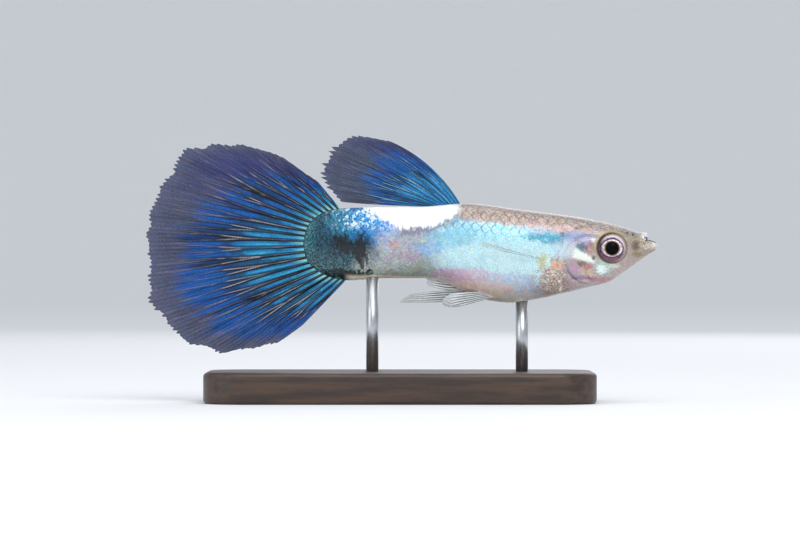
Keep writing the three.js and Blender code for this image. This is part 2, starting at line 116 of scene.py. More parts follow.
# Tail fin: rays fan from an arc round the end of the flesh. lower and upper say how far round the arc they
# start and how far they turn, in degrees, and reach is their length at even steps from the lower edge up.
TAIL = {
    "lower": (100, 46),
    "upper": (88, 50),
    "base": (-5.9, 15.5, 3.7, 3.65),
    "reach": (
        6.2, 8.9, 9.4, 10.6, 11.3, 12.9, 13.1, 13.5, 14.6, 14.9, 14.9, 15.3, 15.1, 15.6, 15.9, 15.5, 15.4,
        15.1, 14.9, 15.1, 15.1, 15.4, 14.9, 15.2, 15.0, 14.7, 14.9, 14.5, 14.1, 14.2, 14.3, 14.2, 12.8,
        12.5, 11.1, 10.4, 9.1, 8.0, 6.7, 4.3, 3.1,
    ),
}
# The other fins: the rays that set each outline, as root, bend and tip, seen from the side
DORSAL = np.array([
    [(2.4, 19.1), (-2.2, 19.2), (-5.9, 19.55)],
    [(3.3, 19.15), (-1.9, 20.7), (-7.55, 21.9)],
    [(4.2, 19.2), (-0.4, 22.1), (-7.0, 24.3)],
    [(5.1, 19.25), (1.7, 23.3), (-4.7, 26.0)],
    [(5.95, 19.25), (3.4, 23.6), (-1.0, 25.5)],
])
ANAL = {"root": (6.9, 10.45), "bend": (3.0, 10.3), "tip": (0.25, 10.1), "high": 1.1, "slant": 1.1}
ANAL_REAR = {"root": (5.6, 11.4), "bend": (4.2, 11.4), "tip": (2.6, 11.8), "high": 1.0, "slant": 0.0}
PECTORAL = {"x": 14.2, "y": 2.45, "z": 13.7, "length": 6.9, "spread": 9, "lift": 11, "out": 15, "root": 0.45}
PELVIC = {"x": 8.4, "y": 1.15, "z": 10.45, "length": 4.4, "spread": 6, "lift": -9, "out": 5, "root": 0.4}

# Each clear fin's mesh: its rays, where they fork, faces across and out, where the sheet starts inside the
# body, how deep the margin is toothed, half the membrane's thickness and a ray's height, both at the root
FIN_KEYS = ("rays", "forks", "faces", "start", "teeth", "skin", "ray")
CLEAR_FINS = {
    "anal_fin": (5, (0.45,), (60, 60), -0.1, 0.07, 0.1, 0.12),
    "anal_fin_rear": (4, (0.5,), (40, 30), -0.1, 0.05, 0.07, 0.09),
    "pelvic_fin": (6, (0.5,), (72, 40), -0.22, 0.04, 0.06, 0.08),
    "pectoral_fin": (11, (0.4, 0.7), (132, 50), -0.12, 0.03, 0.03, 0.05),
}

STAND = {"thickness": 3.0, "corner": 4.0, "edge": 0.4}
RODS = {"front": 11.9, "rear": -2.7}
SUNK = {"belly": 0.25, "base": 0.2}  # how far each rod's ends reach in

# The stage, in metres: the floor's flat radius and that of its bend, and each lamp's place, size and share
FLOOR_FLAT = 1.2
FLOOR_BEND = 0.8
LAMPS = {
    "key": ((0.1, -0.34, 0.3), 0.26, 1.0),
    "fill": ((-0.32, -0.22, 0.12), 0.3, 0.4),
    "top": ((-0.02, -0.08, 0.42), 0.34, 0.5),
    "rim": ((0.12, 0.36, 0.2), 0.26, 0.3),
}
LAMP_AIM = Vector((0, 0, 0.014))
SKY_STRENGTH = 0.9

# The photograph's view
FRAME_WIDTH = 78.125  # how much of the fish's middle plane the picture's width takes in
VIEW_HEIGHT = 13.19
LENS = 200.0
SENSOR = 36.0


# Numbers

def rise(low, high, value):
    """0 below low, 1 above high, and a smooth step between them"""
    share = np.clip((np.asarray(value, float) - low) / (high - low), 0, 1)
    return share * share * (3 - 2 * share)


def hill(distance, width):
    """1 at distance 0, falling away smoothly"""
    return np.exp(-((np.asarray(distance, float) / width) ** 2))


def scatter(number, salt=0.0):
    """A number from 0 to 1 that looks random but is always the same for the same input"""
    wild = np.sin(np.asarray(number, float) * 12.9898 + salt * 78.233) * 43758.5453
    return wild - np.floor(wild)


def body_at(x):
    """The body table at each x, on smooth curves that don't overshoot"""
    x = np.clip(np.asarray(x, float), *BODY_ENDS)
    places = BODY[:, 0]
    spans = np.diff(places)
    row = np.clip(np.searchsorted(places, x, side="right") - 1, 0, len(places) - 2)
    u = (x - places[row]) / spans[row]
    found = {}
    for key, column in zip(BODY_KEYS[1:], BODY.T[1:]):
        slopes = np.diff(column) / spans
        before, after = slopes[:-1], slopes[1:]
        total = np.where(before * after > 0, before + after, 1.0)
        inner = np.where(before * after > 0, 2 * before * after / total, 0.0)
        tangent = np.concatenate(([slopes[0]], inner, [slopes[-1]]))
        found[key] = (
            (2 * u**3 - 3 * u**2 + 1) * column[row]
            + (u**3 - 2 * u**2 + u) * spans[row] * tangent[row]
            + (3 * u**2 - 2 * u**3) * column[row + 1]
            + (u**3 - u**2) * spans[row] * tangent[row + 1]
        )
    return found


def segment_distance(x, z, start, end):
    """Distance in the side view from points to a straight line between two places"""
    (ax, az), (bx, bz) = start, end
    dx, dz = bx - ax, bz - az
    share = np.clip(((x - ax) * dx + (z - az) * dz) / (dx * dx + dz * dz), 0, 1)
    return np.hypot(x - ax - share * dx, z - az - share * dz)


# The body's surface

class BodySurface:
    """The body as a sheet: across it runs the share of the girth, from the belly line up the right side,
    over the back and down the left side, and along it runs x"""

    LOOPS = 900
    SHARES = 960
    TURNS = 1441  # places worked out round each loop

    def __init__(self):
        start, end = BODY_ENDS
        self.x = np.linspace(start, end, self.LOOPS)
        at = body_at(self.x)
        notch = SNOUT_DROP * np.sqrt(np.clip((end - self.x) / (end - SNOUT_FRONT - 0.08), 0, 1))
        top = at["top"] - notch * rise(SNOUT_FRONT - 0.05, SNOUT_FRONT + 0.08, self.x)
        tail_round, chin_round = END_ROUNDING
        ends = np.clip(np.maximum(1 - (self.x - start) / tail_round, 1 - (end - self.x) / chin_round), 0, 1)
        shrink = np.sqrt(1 - ends**2)
        turn = np.linspace(-math.pi / 2, 1.5 * math.pi, self.TURNS)
        loops = np.zeros((self.LOOPS, self.SHARES + 1, 2))
        shares = np.linspace(0, 1, self.SHARES + 1)
        for i in range(self.LOOPS):
            upper = np.sin(turn) > 0
            power = 2 / np.where(upper, at["back"][i], at["belly"][i])
            reach = np.where(upper, top[i] - at["level"][i], at["level"][i] - at["bottom"][i])
            y = -at["half"][i] * np.sign(np.cos(turn)) * np.abs(np.cos(turn)) ** power
            z = at["level"][i] + reach * np.sign(np.sin(turn)) * np.abs(np.sin(turn)) ** power
            y, z = shrink[i] * y, at["level"][i] + shrink[i] * (z - at["level"][i])
            run = np.concatenate(([0], np.cumsum(np.hypot(np.diff(y), np.diff(z)))))
            run /= max(run[-1], 1e-9)
            loops[i, :, 0] = np.interp(shares, run, y)
            loops[i, :, 1] = np.interp(shares, run, z)
        self.loops = loops

    def at(self, x, share):
        """Points of the surface"""
        x = np.clip(x, *BODY_ENDS)
        if np.min(share) < 0 or np.max(share) > 1:
            share = np.mod(share, 1.0)
        along = (x - self.x[0]) / (self.x[1] - self.x[0])
        across = share * self.SHARES
        i = np.clip(np.floor(along).astype(int), 0, self.LOOPS - 2)
        j = np.clip(np.floor(across).astype(int), 0, self.SHARES - 1)
        u = (along - i)[:, None]
        v = (across - j)[:, None]
        low = self.loops[i, j] * (1 - v) + self.loops[i, j + 1] * v
        high = self.loops[i + 1, j] * (1 - v) + self.loops[i + 1, j + 1] * v
        return np.column_stack([x, low * (1 - u) + high * u])

    def looking(self, x, share):
        """The way the surface faces at each point"""
        step_x, step_share = 0.06, 0.004
        along = self.at(x + step_x, share) - self.at(x - step_x, share)
        across = self.at(x, share + step_share) - self.at(x, share - step_share)
        face = np.cross(along, across)
        size = np.linalg.norm(face, axis=1, keepdims=True)
        return face / np.maximum(size, 1e-12)


SURFACE = BodySurface()


def scaled_area(x, z):
    """How much each place belongs to the part of the body that scales cover, 0 to 1"""
    front = 24 - np.sqrt(np.clip(64 - (z - 13.7) ** 2, 1, 64)) + 2.4 * rise(16.4, 17.6, z)
    return 1 - rise(-0.6, 0.15, x - front)


def gill_share(x, z):
    """Distance from the middle of the gill cover, 1 at its edge"""
    return np.hypot((x - GILL["x"]) / GILL["long"], (z - GILL["z"]) / GILL["high"])


def head_relief(x, z):
    """How far the skin stands out of the plain head, from its side view"""
    gill = gill_share(x, z)
    behind = rise(19.9, 18.6, x)
    lift = 0.11 * rise(1.04, 0.93, gill) * behind * rise(0.5, 0.9, gill)
    lift -= 0.1 * hill(gill - 1.07, 0.05) * behind
    inner = np.hypot((x - 19.1) / 1.2, (z - 13.6) / 1.75)  # the bone in front of the cover
    lift += 0.05 * hill(inner - 0.9, 0.12) * rise(19.9, 19.0, x)
    lift -= 0.04 * hill(inner - 1.08, 0.08) * rise(19.9, 19.0, x)
    lift -= 0.09 * hill(segment_distance(x, z, (18.3, 11.95), (21.3, 12.75)), 0.09)
    lift += 0.05 * hill(segment_distance(x, z, (18.6, 12.25), (21.2, 13.0)), 0.2)
    for nx, nz, radius in NOSTRILS:
        away = np.hypot(x - nx, z - nz)
        lift += 0.05 * hill(away - radius * 1.5, radius * 0.6) - 0.2 * hill(away, radius)
    return lift


def mouth_relief(x, z):
    """Lips and the sunk skin between the jaws, from the side view"""
    low = z - np.interp(x, LOWER_LIP[0], LOWER_LIP[1])
    high = np.interp(x, UPPER_LIP[0], UPPER_LIP[1]) - z
    between = rise(0.0, 0.1, low) * rise(0.0, 0.1, high) * rise(23.35, 23.6, x) * rise(25.08, 24.9, x)
    lip = 0.1 * hill(segment_distance(x, z, (23.72, 16.12), (24.04, 16.3)), 0.25)
    lip += 0.05 * hill(np.clip(-high, 0, None), 0.12) * rise(23.4, 23.9, x) * rise(-0.05, 0.05, -high)
    lip += 0.09 * hill(low + 0.1, 0.13) * rise(23.5, 24.3, x)
    return lip - 0.08 * between, between


def socket_depth(points):
    """The skin rolls in round the eye: the new distance from the middle plane"""
    x, y, z = points.T
    away = np.hypot(x - EYE["x"], z - EYE["z"])
    width = np.abs(y)
    inside = np.clip(1 - (away / EYE["radius"]) ** 2, 0, 1)
    under = EYE["y"] + EYE["depth"] * np.sqrt(inside) - 0.1
    rim = 0.07 * hill(away - 1.62, 0.12)
    rolled = width + rim
    share = rise(1.58, 1.36, away)
    return np.sign(y) * np.where(away < 2.2, rolled * (1 - share) + np.minimum(under, rolled) * share, width)


def skin_points(x, share):
    """Points of the finished skin, and how deep each lies in the mouth"""
    points = SURFACE.at(x, share)
    px, py, pz = points.T
    mouth, between = mouth_relief(px, pz)
    trough = rise(24.12, 24.3, px) * rise(25.05, 24.85, px)
    trough = trough * rise(0.34, 0.42, share) * rise(0.66, 0.58, share)
    lift = head_relief(px, pz) + mouth * rise(0.2, 0.5, np.abs(py) + (px < 24)) - 0.1 * trough
    lift -= COAT_DEPTH * scaled_area(px, pz)
    moved = points + SURFACE.looking(x, share) * lift[:, None]
    moved[:, 1] = socket_depth(moved)
    return moved, np.maximum(between, trough)


# Making meshes

def parts_of(made, kind):
    """The new elements of one kind from what an operator made"""
    return [element for element in made["geom"] if isinstance(element, kind)]


def thicken(bm):
    """Doubles a flat grid into a slab one unit thick"""
    made = bmesh.ops.extrude_face_region(bm, geom=bm.faces[:], use_keep_orig=True)
    bmesh.ops.translate(bm, verts=parts_of(made, bmesh.types.BMVert), vec=(0, 0, 1))


def sheet_mesh(name, faces, place, marks, thick):
    """A piece from a grid whose corner places (s, t) run from 0 to 1. place(s, t, side) gives the points,
    side being 1 on the second face of a thick sheet, and marks(s, t) values to keep there. A sheet that
    isn't thick is joined where its edges meet."""
    bm = bmesh.new()
    chart = bm.loops.layers.uv.new("Chart")
    bmesh.ops.create_grid(bm, x_segments=faces[0], y_segments=faces[1], size=0.5)
    bmesh.ops.translate(bm, verts=bm.verts, vec=(0.5, 0.5, 0))
    if thick:
        thicken(bm)
    for face in bm.faces:
        face.smooth = True
        for loop in face.loops:
            loop[chart].uv = loop.vert.co.xy
    s, t, side = np.clip(np.array([v.co for v in bm.verts]).T, 0, 1)
    for key, values in marks(s, t).items():
        layer = bm.verts.layers.float_vector.new(key)
        for vert, value in zip(bm.verts, values):
            vert[layer] = value
    for vert, point in zip(bm.verts, place(s, t, side) * MM):
        vert.co = point
    if not thick:
        bmesh.ops.remove_doubles(bm, verts=bm.verts, dist=2e-8)
        bmesh.ops.dissolve_degenerate(bm, edges=bm.edges, dist=1e-8)
    return piece_from(bm, name)


def piece_from(bm, name, flat_ends=False):
    """An object at the origin from a finished bmesh. With flat_ends only four-sided faces are smooth."""
    if flat_ends:
        for face in bm.faces:
            face.smooth = len(face.verts) == 4
    bmesh.ops.recalc_face_normals(bm, faces=bm.faces)
    mesh = bpy.data.meshes.new(name)
    bm.to_mesh(mesh)
    bm.free()
    piece = bpy.data.objects.new(name, mesh)
    bpy.context.scene.collection.objects.link(piece)
    return piece


def fit(piece, slot, finish, *nodes):
    """Gives a piece its material, and says what it rides on and the nodes that it stands for. slot is not
    used.
    """
    piece.data.materials.append(finish)
    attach(piece, "root")
    if nodes:
        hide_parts(*nodes)


# Shader maths

class Value:
    """A socket in a material, with its maths written as plain expressions"""

    def __init__(self, finish, socket):
        self.finish = finish
        self.socket = socket

    def math(self, operation, *others, **settings):
        values = dict(enumerate((self, *others)))
        return self.finish.node("ShaderNodeMath", values, operation=operation, **settings)

    def __add__(self, other):
        return self.math("ADD", other)

    def __sub__(self, other):
        return self.math("SUBTRACT", other)

    def __rsub__(self, other):
        return self.finish.node("ShaderNodeMath", {0: other, 1: self}, operation="SUBTRACT")

    def __mul__(self, other):
        return self.math("MULTIPLY", other)

    def __truediv__(self, other):
        return self.math("DIVIDE", other)

    def __abs__(self):
        return self.math("ABSOLUTE")

    __radd__ = __add__
    __rmul__ = __mul__

    def clamp(self):
        return self.math("ADD", 0.0, use_clamp=True)

    def step(self, low, high):
        """0 at low, 1 at high, smooth between them, also where low is the larger"""
        first, last = (0.0, 1.0) if low < high else (1.0, 0.0)
        values = {0: self, 1: min(low, high), 2: max(low, high), 3: first, 4: last}
        return self.finish.node("ShaderNodeMapRange", values, interpolation_type="SMOOTHSTEP")


def linear(code):
    """A colour of six hex digits as linear red, green, blue and alpha"""
    shares = [int(code[i : i + 2], 16) / 255 for i in (0, 2, 4)]
    return (*(c / 12.92 if c <= 0.04045 else ((c + 0.055) / 1.055) ** 2.4 for c in shares), 1.0)


class Finish:
    """One material. place is the point on the piece in millimetres, and x, y and z are its parts."""

    def __init__(self, name, **constants):
        self.material = bpy.data.materials.new(name)
        self.material.use_nodes = True
        self.tree = self.material.node_tree
        self.tree.nodes.clear()
        self.shader = self.tree.nodes.new("ShaderNodeBsdfPrincipled")
        output = self.tree.nodes.new("ShaderNodeOutputMaterial")
        self.tree.links.new(self.shader.outputs[0], output.inputs["Surface"])
        for key, value in constants.items():
            self.shader.inputs[key.replace("_", " ")].default_value = value
        self.place = self.vector("SCALE", self.node("ShaderNodeTexCoord", {}, "Object"), 1 / MM)
        self.x, self.y, self.z = self.parts(self.place)

    def node(self, kind, sockets, output=0, **settings):
        """A node of a kind, from its sockets' values or links, and its settings"""
        node = self.tree.nodes.new(kind)
        for key, value in settings.items():
            setattr(node, key, value)
        for key, value in sockets.items():
            if isinstance(value, Value):
                self.tree.links.new(value.socket, node.inputs[key])
            else:
                node.inputs[key].default_value = value
        return Value(self, node.outputs[output])

    def feed(self, **links):
        """Links values into the shader, a space in a socket's name written as an underscore"""
        for key, value in links.items():
            self.tree.links.new(value.socket, self.shader.inputs[key.replace("_", " ")])
        return self.material

    def vector(self, operation, first, other):
        """Vector maths on a vector and another, or on a vector and the number that scales it"""
        sockets = {0: first, 3 if operation == "SCALE" else 1: other}
        return self.node("ShaderNodeVectorMath", sockets, operation=operation)

    def parts(self, vector):
        """The three parts of a vector"""
        return [self.node("ShaderNodeSeparateXYZ", {0: vector}, k) for k in range(3)]

    def attribute(self, name):
        """The three parts of a vector kept at the piece's points"""
        return self.parts(self.node("ShaderNodeAttribute", {}, "Vector", attribute_name=name))

    def chart(self):
        """The piece's own map"""
        return self.node("ShaderNodeUVMap", {}, uv_map="Chart")

    def stretch(self, vector, *amounts):
        """A vector with each part multiplied by its own number"""
        return self.vector("MULTIPLY", vector, amounts)

    def shade(self, colour, factor):
        """A colour made brighter or darker by a number"""
        return self.vector("SCALE", colour, factor)

    def mix(self, share, below, above, blend="MIX"):
        """A colour between two, each a hex code or a value"""
        below, above = (linear(c) if isinstance(c, str) else c for c in (below, above))
        settings = {"data_type": "RGBA", "blend_type": blend, "clamp_result": blend != "MIX"}
        return self.node("ShaderNodeMix", {0: share, 6: below, 7: above}, 2, **settings)

    def over(self, colour, *layers):
        """A colour with others laid over it in turn, each given after its share"""
        for share, paint in layers:
            colour = self.mix(share, colour, paint)
        return colour

    def noise(self, scale, detail=2.0, where=None, salt=0.0, rough=0.5, output=0):
        """Cloudy noise from 0 to 1 with features of 1 / scale millimetres"""
        moved = self.vector("ADD", where or self.place, (salt, 2 * salt, -salt))
        values = {"Vector": moved, "Scale": scale, "Detail": detail, "Roughness": rough}
        return self.node("ShaderNodeTexNoise", values, output)

    def grains(self, colour, scale, amount, strength):
        """A colour broken into grains of other hues, as light breaks on pearly skin"""
        grey = (0.5, 0.5, 0.5)
        hues = self.vector("SUBTRACT", self.noise(scale, rough=0.7, output=1), grey)
        hues = self.vector("ADD", self.shade(hues, amount), grey)
        return self.mix(strength, colour, hues, "OVERLAY")

    def blob(self, x, z, long, high, edge, jitter):
        """1 inside an oval of the side view, 0 outside, with a soft and uneven edge"""
        across = (self.x - x) / long
        up = (self.z - z) / high
        return (across * across + up * up + jitter).step(1 + edge, 1 - edge)

    def from_eye(self):
        """How far a point lies in front of the eye's middle, above it, and from it"""
        dx, dz = self.x - EYE["x"], self.z - EYE["z"]
        return dx, dz, (dx * dx + dz * dz).math("SQRT")

    def bump(self, height, strength, distance):
        values = {"Height": height, "Strength": strength, "Distance": distance * MM}
        return self.node("ShaderNodeBump", values)


# Finishes

def body_colour(f, look, rim, tone):
    """The body's markings, the same on the skin and on its scales. rim is 1 on a scale's dark rim, and tone
    is a number for each scale. The noises and the white band come with the colour."""
    cloud = f.noise(0.5, 3.0) - 0.5
    patch = f.noise(1.5, 4.0, salt=2.0, rough=0.6)
    fleck = f.noise(4.2, 3.0, salt=3.0, rough=0.65)
    grain = f.noise(9.5, 2.0, salt=9.0, rough=0.7)
    streaks = f.noise(1.0, 3.0, f.stretch(f.place, 3.4, 3.4, 1.1), 6.0)
    x = f.x + cloud * 2.2 + (patch - 0.5) * 1.5
    z = f.z + cloud * 1.2 + (patch - 0.5) * 1.1 + (fleck - 0.5) * 0.8
    jitter = (patch - 0.5) * 3.6 + (fleck - 0.5) * 3.0

    def spot(*oval, edge=0.75):
        return f.blob(*oval, edge, jitter)

    breast = spot(15.8, 11.9, 2.4, 2.1, edge=0.7)
    colour = f.over(
        f.mix(z.step(10.6, 13.6), "cfc7bf", look["flank"]),
        # flank and belly, cyan and mint over silver
        (patch.step(0.46, 0.62) * 0.7, "d9f3ec"),
        (fleck.step(0.5, 0.64) * 0.6, "8fcbe6"),
        (spot(8.5, 16.4, 8.5, 1.3) * 0.55, "74c8e2"),
        (spot(10.5, 14.2, 5.0, 2.0) * 0.55, "cfeff0"),
        (grain.step(0.52, 0.66) * 0.5, "4fa9c4"),
        (grain.step(0.46, 0.34) * 0.6, "f2fbfa"),
        (spot(15.4, 16.25, 2.9, 0.7) * 0.85, "2c93ad"),
        (spot(11.6, 11.3, 4.4, 1.2) * 0.65, "a6b4d2"),
        (spot(5.4, 12.2, 3.4, 0.9) * 0.7, "d49fbb"),
        (spot(6.8, 10.8, 4.4, 1.0) * 0.8, "e6c6b2"),
        (spot(11.5, 9.9, 5.5, 0.7) * 0.85, "e4dacd"),
        (rim * f.x.step(3.0, 6.0) * z.step(15.4, 17.4) * 0.6, "3d7f99"),
        # breast and the base of the pectoral fin
        (breast, "ccb6a8"),
        (breast * grain.step(0.5, 0.58), "6d5a53"),
        (breast * fleck.step(0.54, 0.64), "efe6dc"),
        (spot(13.9, 13.8, 0.5, 0.65) * 0.7, "c6c987"),
        (spot(15.2, 13.35, 0.75, 0.4) * 0.75, "e8ad85"),
    )

    # stem, from lilac grey above to olive grey below
    stem = f.over(
        f.mix(z.step(12.2, 16.0), "979b8a", "aba7ba"),
        (fleck.step(0.48, 0.62) * 0.5, "bccad6"),
        (grain.step(0.5, 0.62) * 0.4, "77737c"),
        (patch.step(0.52, 0.64) * 0.5, "9fb7a8"),
    )

    # back with netted scales, over an edge that follows the rims
    edge = z - (f.x * -0.105 + 18.45) - rim * 0.35 + 0.15
    back = f.over(
        f.mix(tone, look["back"], "a8968a"),
        (fleck.step(0.44, 0.6) * 0.6, "c9bab0"),
        (grain.step(0.5, 0.62) * 0.4, "6d5b51"),
        (rim * 0.6, "54423a"),
        ((f.z + f.x * 0.08).step(19.0, 19.8) * 0.6, "a39a95"),
    )
    pink = edge.step(-0.7, -0.1) * edge.step(0.6, 0.1) * f.x.step(11.0, 13.5)
    slash = rim * edge.step(-1.3, -0.6) * edge.step(0.4, 0.0) * f.x.step(2.2, 4.2) * f.x.step(14.0, 10.0)

    # white band under the dorsal fin, with a shaded lower edge
    right = (x - 0.6).math("MAXIMUM", 0.0)
    above = f.z - (right * right * 0.056 + 17.0) + (streaks - 0.5) * 1.6
    under = above.step(-1.0, -0.45) * above.step(0.1, -0.25) * f.x.step(-3.2, -1.8) * f.x.step(6.6, 4.6)
    slant = f.x + (f.z - 18.9) * 1.9 + (streaks - 0.5) * 3.0
    band = above.step(-0.3, 0.2) * slant.step(-4.1, -3.2) * x.step(6.3, 5.0)
    colour = f.over(
        colour,
        (x.step(5.2, 1.6) * 0.92, stem),
        (spot(2.8, 14.9, 1.3, 0.7) * 0.5, "6fb4e6"),
        (spot(5.0, 16.2, 2.3, 1.0) * 0.65, "8cc6da"),
        (spot(-0.6, 15.3, 0.6, 0.4) * 0.45, "c9906f"),
        (spot(0.6, 14.3, 1.6, 0.6) * 0.35, "b489a4"),
        (edge.step(-0.25, 0.3) * f.x.step(4.7, 6.1), back),
        (pink * 0.5, "b98a8c"),
        (slash * streaks.step(0.42, 0.6) * 0.6, "4f4a54"),
        (under * 0.6, "6f6580"),
        (band, look["band"]),
    )

    # blue and white scales, the dark speckled end of the stem, and a cream line along its underside
    dark = f.over(
        f.mix(fleck.step(0.44, 0.6), "04121a", "0d4560"),
        (grain.step(0.52, 0.66) * 0.75, "2688a6"),
        (f.x.step(-7.6, -9.3) * grain.step(0.47, 0.57) * 0.6, "4fb0ac"),
    )
    low = f.mix(grain.step(0.52, 0.64) * 0.6, f.mix(fleck.step(0.42, 0.6), "0c2a36", "3c6a74"), "7fb3b4")
    rear = x.step(-1.6, -3.0) * (f.z.step(12.8, 15.8) + f.x.step(-3.6, -5.4)).clamp() * (1 - band)
    bright = (tone * 0.3 + (patch - 0.5) * 2.4 + (grain - 0.5) * 2.0).step(-0.5, 0.0) * (1 - rim * 0.4)
    pearls = (tone * 0.2 + (fleck - 0.5) * 1.6 + (patch - 0.5) * 1.2 + (streaks - 0.5)).step(0.12, 0.3)
    blue = f.over(
        f.mix(f.x.step(-3.8, -6.0), look["gleam"], "1f86a8"),
        (grain.step(0.48, 0.4) * 0.7, "06406e"),
        (pearls * f.z.step(16.4, 17.4), "cfe8f8"),
    )
    uneven = jitter + (streaks - 0.5) * 4.5
    smudges = ((-3.8, 14.8, 0.8, 1.5), (-5.6, 15.4, 1.0, 0.9), (-5.2, 12.6, 2.2, 0.4))
    cream = abs(f.y).step(0.6, 0.4) * f.z.step(13.0, 12.6) * f.x.step(-5.6, -4.6) * f.x.step(5.6, 4.2)
    colour = f.over(
        colour,
        (rear, f.mix(f.z.step(12.8, 15.4), low, dark)),
        (spot(-1.4, 16.9, 1.6, 0.9, edge=0.8) * (1 - band) * 0.6, "b9c6ea"),
        (spot(-3.9, 17.9, 3.1, 2.2, edge=0.6) * bright * (1 - band), blue),
        *((f.blob(*oval, 0.8, uneven) * 0.95, "05090f") for oval in smudges),
        (rear * rim * 0.4, "03101a"),
        (cream * 0.9, "e0d5bc"),
    )
    colour = f.mix(band, f.grains(colour, 6.0, 2.4, 0.35), colour)
    return f.shade(colour, 0.76 + fleck * 0.34 + tone * 0.1), fleck, grain, band, jitter


# Round marks on the head, one of them a painted highlight: x, z, half length, half height, strength and
# paint
GILL_MARKS = (
    (17.0, 16.1, 1.0, 0.55, 0.75, "7f93c8"),
    (18.4, 15.85, 0.8, 0.22, 0.8, "a9addb"),
    # a painted highlight: the small white spot on the lavender band behind the eye
    (18.8, 15.75, 0.2, 0.2, 0.8, "f1eef6"),
    (16.2, 14.9, 1.3, 0.9, 0.75, "cfdcec"),
    (18.5, 15.05, 0.5, 0.5, 0.75, "a3747a"),
    (17.6, 15.05, 0.5, 0.42, 0.95, "1b6580"),
    (17.3, 12.9, 1.2, 1.15, 0.8, "a795a6"),
    (16.9, 13.0, 0.35, 0.22, 0.8, "cf8fba"),
    (17.6, 12.15, 0.75, 0.22, 0.75, "8d6196"),
    (17.9, 11.85, 0.9, 0.14, 0.7, "cfe3da"),
    (18.15, 12.85, 0.62, 0.42, 0.7, "d8c7a0"),
    (17.6, 13.5, 0.35, 0.25, 0.9, "67512f"),
    (18.2, 13.2, 0.38, 0.32, 0.9, "b8635c"),
)
CHEEK_MARKS = (
    (18.8, 14.05, 0.16, 0.2, 0.9, "2b343c"),
    (19.75, 13.3, 0.75, 0.75, 0.8, "b4e4dc"),
    (19.65, 12.95, 0.42, 0.45, 1.0, "effff9"),
    (20.7, 13.3, 0.6, 0.18, 0.8, "cfeee0"),
    (19.6, 11.95, 1.7, 0.22, 0.7, "b5697a"),
)
SNOUT_MARKS = (
    (22.95, 15.3, 0.35, 0.4, 0.8, "473b14"),
    (23.1, 14.4, 0.45, 0.22, 0.6, "7b5430"),
    (23.0, 16.45, 0.7, 0.2, 0.7, "8f93a3"),
)
LIP_MARKS = (
    (23.95, 16.25, 0.42, 0.32, 0.95, "dfdcdc"),
    (24.45, 15.3, 0.9, 0.35, 0.85, "d6c8ba"),
    (24.95, 15.35, 0.35, 0.3, 0.9, "ece6df"),
)


def head_colour(f, colour, fleck, grain, jitter):
    """The head's markings over the body's, with painted highlights on the gill cover and at the mouth"""
    jitter = jitter * 0.7 + (grain - 0.5) * 7.0

    def marks(table, edge=0.6):
        return [(f.blob(*oval, edge, jitter) * strength * 0.85, paint) for *oval, strength, paint in table]

    behind = (f.x - 24.0) * (f.x - 24.0) + (f.z - 13.7) * (f.z - 13.7)
    head = (behind + jitter * 5).step(76.0, 56.0)
    cheek = f.over(
        f.mix(f.z.step(12.0, 16.5), "b7a29e", "a0948e"),
        (fleck.step(0.45, 0.6) * 0.6, "cdbfc0"),
        (grain.step(0.5, 0.62) * 0.4, "857471"),
    )
    crown = f.mix(grain.step(0.5, 0.6) * 0.75, f.mix(fleck.step(0.42, 0.6), "857a73", "b5aaa3"), "5e524e")
    across, up = f.x - 17.9, f.z - 14.15
    slant = across * 0.387 + up * 0.924
    run = across * 0.924 - up * 0.387
    wedge = (abs(slant) + run * 0.13 + jitter * 0.06).step(0.5, 0.2)
    wedge = wedge * (abs(run) + jitter * 0.15).step(1.35, 0.95)
    dx, dz, away = f.from_eye()
    gold = (dz - dx).step(-0.4, 1.4) * 0.5 + 0.2
    snout = (f.x + jitter * 0.2).step(21.8, 23.0)
    olive = (fleck * 0.5 + grain * 0.5).step(0.47, 0.55) * f.z.step(13.8, 14.6)
    nostrils = [(x, z, radius, radius, 0.8, "3a302d") for x, z, radius in NOSTRILS]
    colour = f.over(
        colour,
        (head * (f.z + jitter * 0.2).step(17.0, 16.0), cheek),
        (head * (f.z + f.x * 0.3 + jitter * 0.2).step(21.9, 23.1), crown),
        *marks(GILL_MARKS),
        (wedge * 0.95, "eef6ea"),
        *marks(CHEEK_MARKS),
        ((away + jitter * 0.1).step(1.95, 1.6) * gold, "b3a56f"),
        ((away + jitter * 0.03).step(1.55, 1.42) * dx.step(0.8, -0.8) * 0.45, "5c4c54"),
        (snout * 0.8, "aa9c8c"),
        (snout * olive * 0.6, "6b5d3c"),
        *marks(SNOUT_MARKS),
        *marks(nostrils, 0.4),
        *marks(LIP_MARKS),
    )
    colour = f.mix(head, colour, f.shade(f.grains(colour, 9.0, 2.6, 0.4), 0.84 + grain * 0.34))
    # the skin between the jaws is dark slate, lighter along its upper edge as a painted highlight
    gape_skin_and_highlight = f.mix((f.z + f.x * 0.45).step(26.72, 26.95), "1f2c3c", "5d7f9c")
    gape = (f.z + f.x * 0.42).step(25.95, 26.02) * f.x.step(23.7, 23.95) * f.x.step(25.0, 24.85)
    gape = gape * (f.z + (f.x - 24.1) * 0.5).step(16.15, 16.0)
    return f.over(colour, (gape, gape_skin_and_highlight), (f.attribute("Mouth")[0].step(0.3, 0.85), gape_skin_and_highlight))


def skin_finish(look):
    """Wet skin: the flesh between the scales, and the bare head"""
    f = Finish("Guppy skin", Coat_Weight=0.35, Coat_Roughness=0.12, IOR=1.42)
    colour, fleck, grain, band, jitter = body_colour(f, look, 0.5, f.noise(1.3, salt=5.0))
    pores = f.node("ShaderNodeTexVoronoi", {"Vector": f.place, "Scale": 6.0}, "Distance")
    return f.feed(
        Base_Color=head_colour(f, colour, fleck, grain, jitter),
        Roughness=fleck * 0.25 + 0.3,
        Metallic=band * -0.2 + 0.2,
        Normal=f.bump(grain * 0.5 + pores * 0.5, 0.35, 0.04),
    )


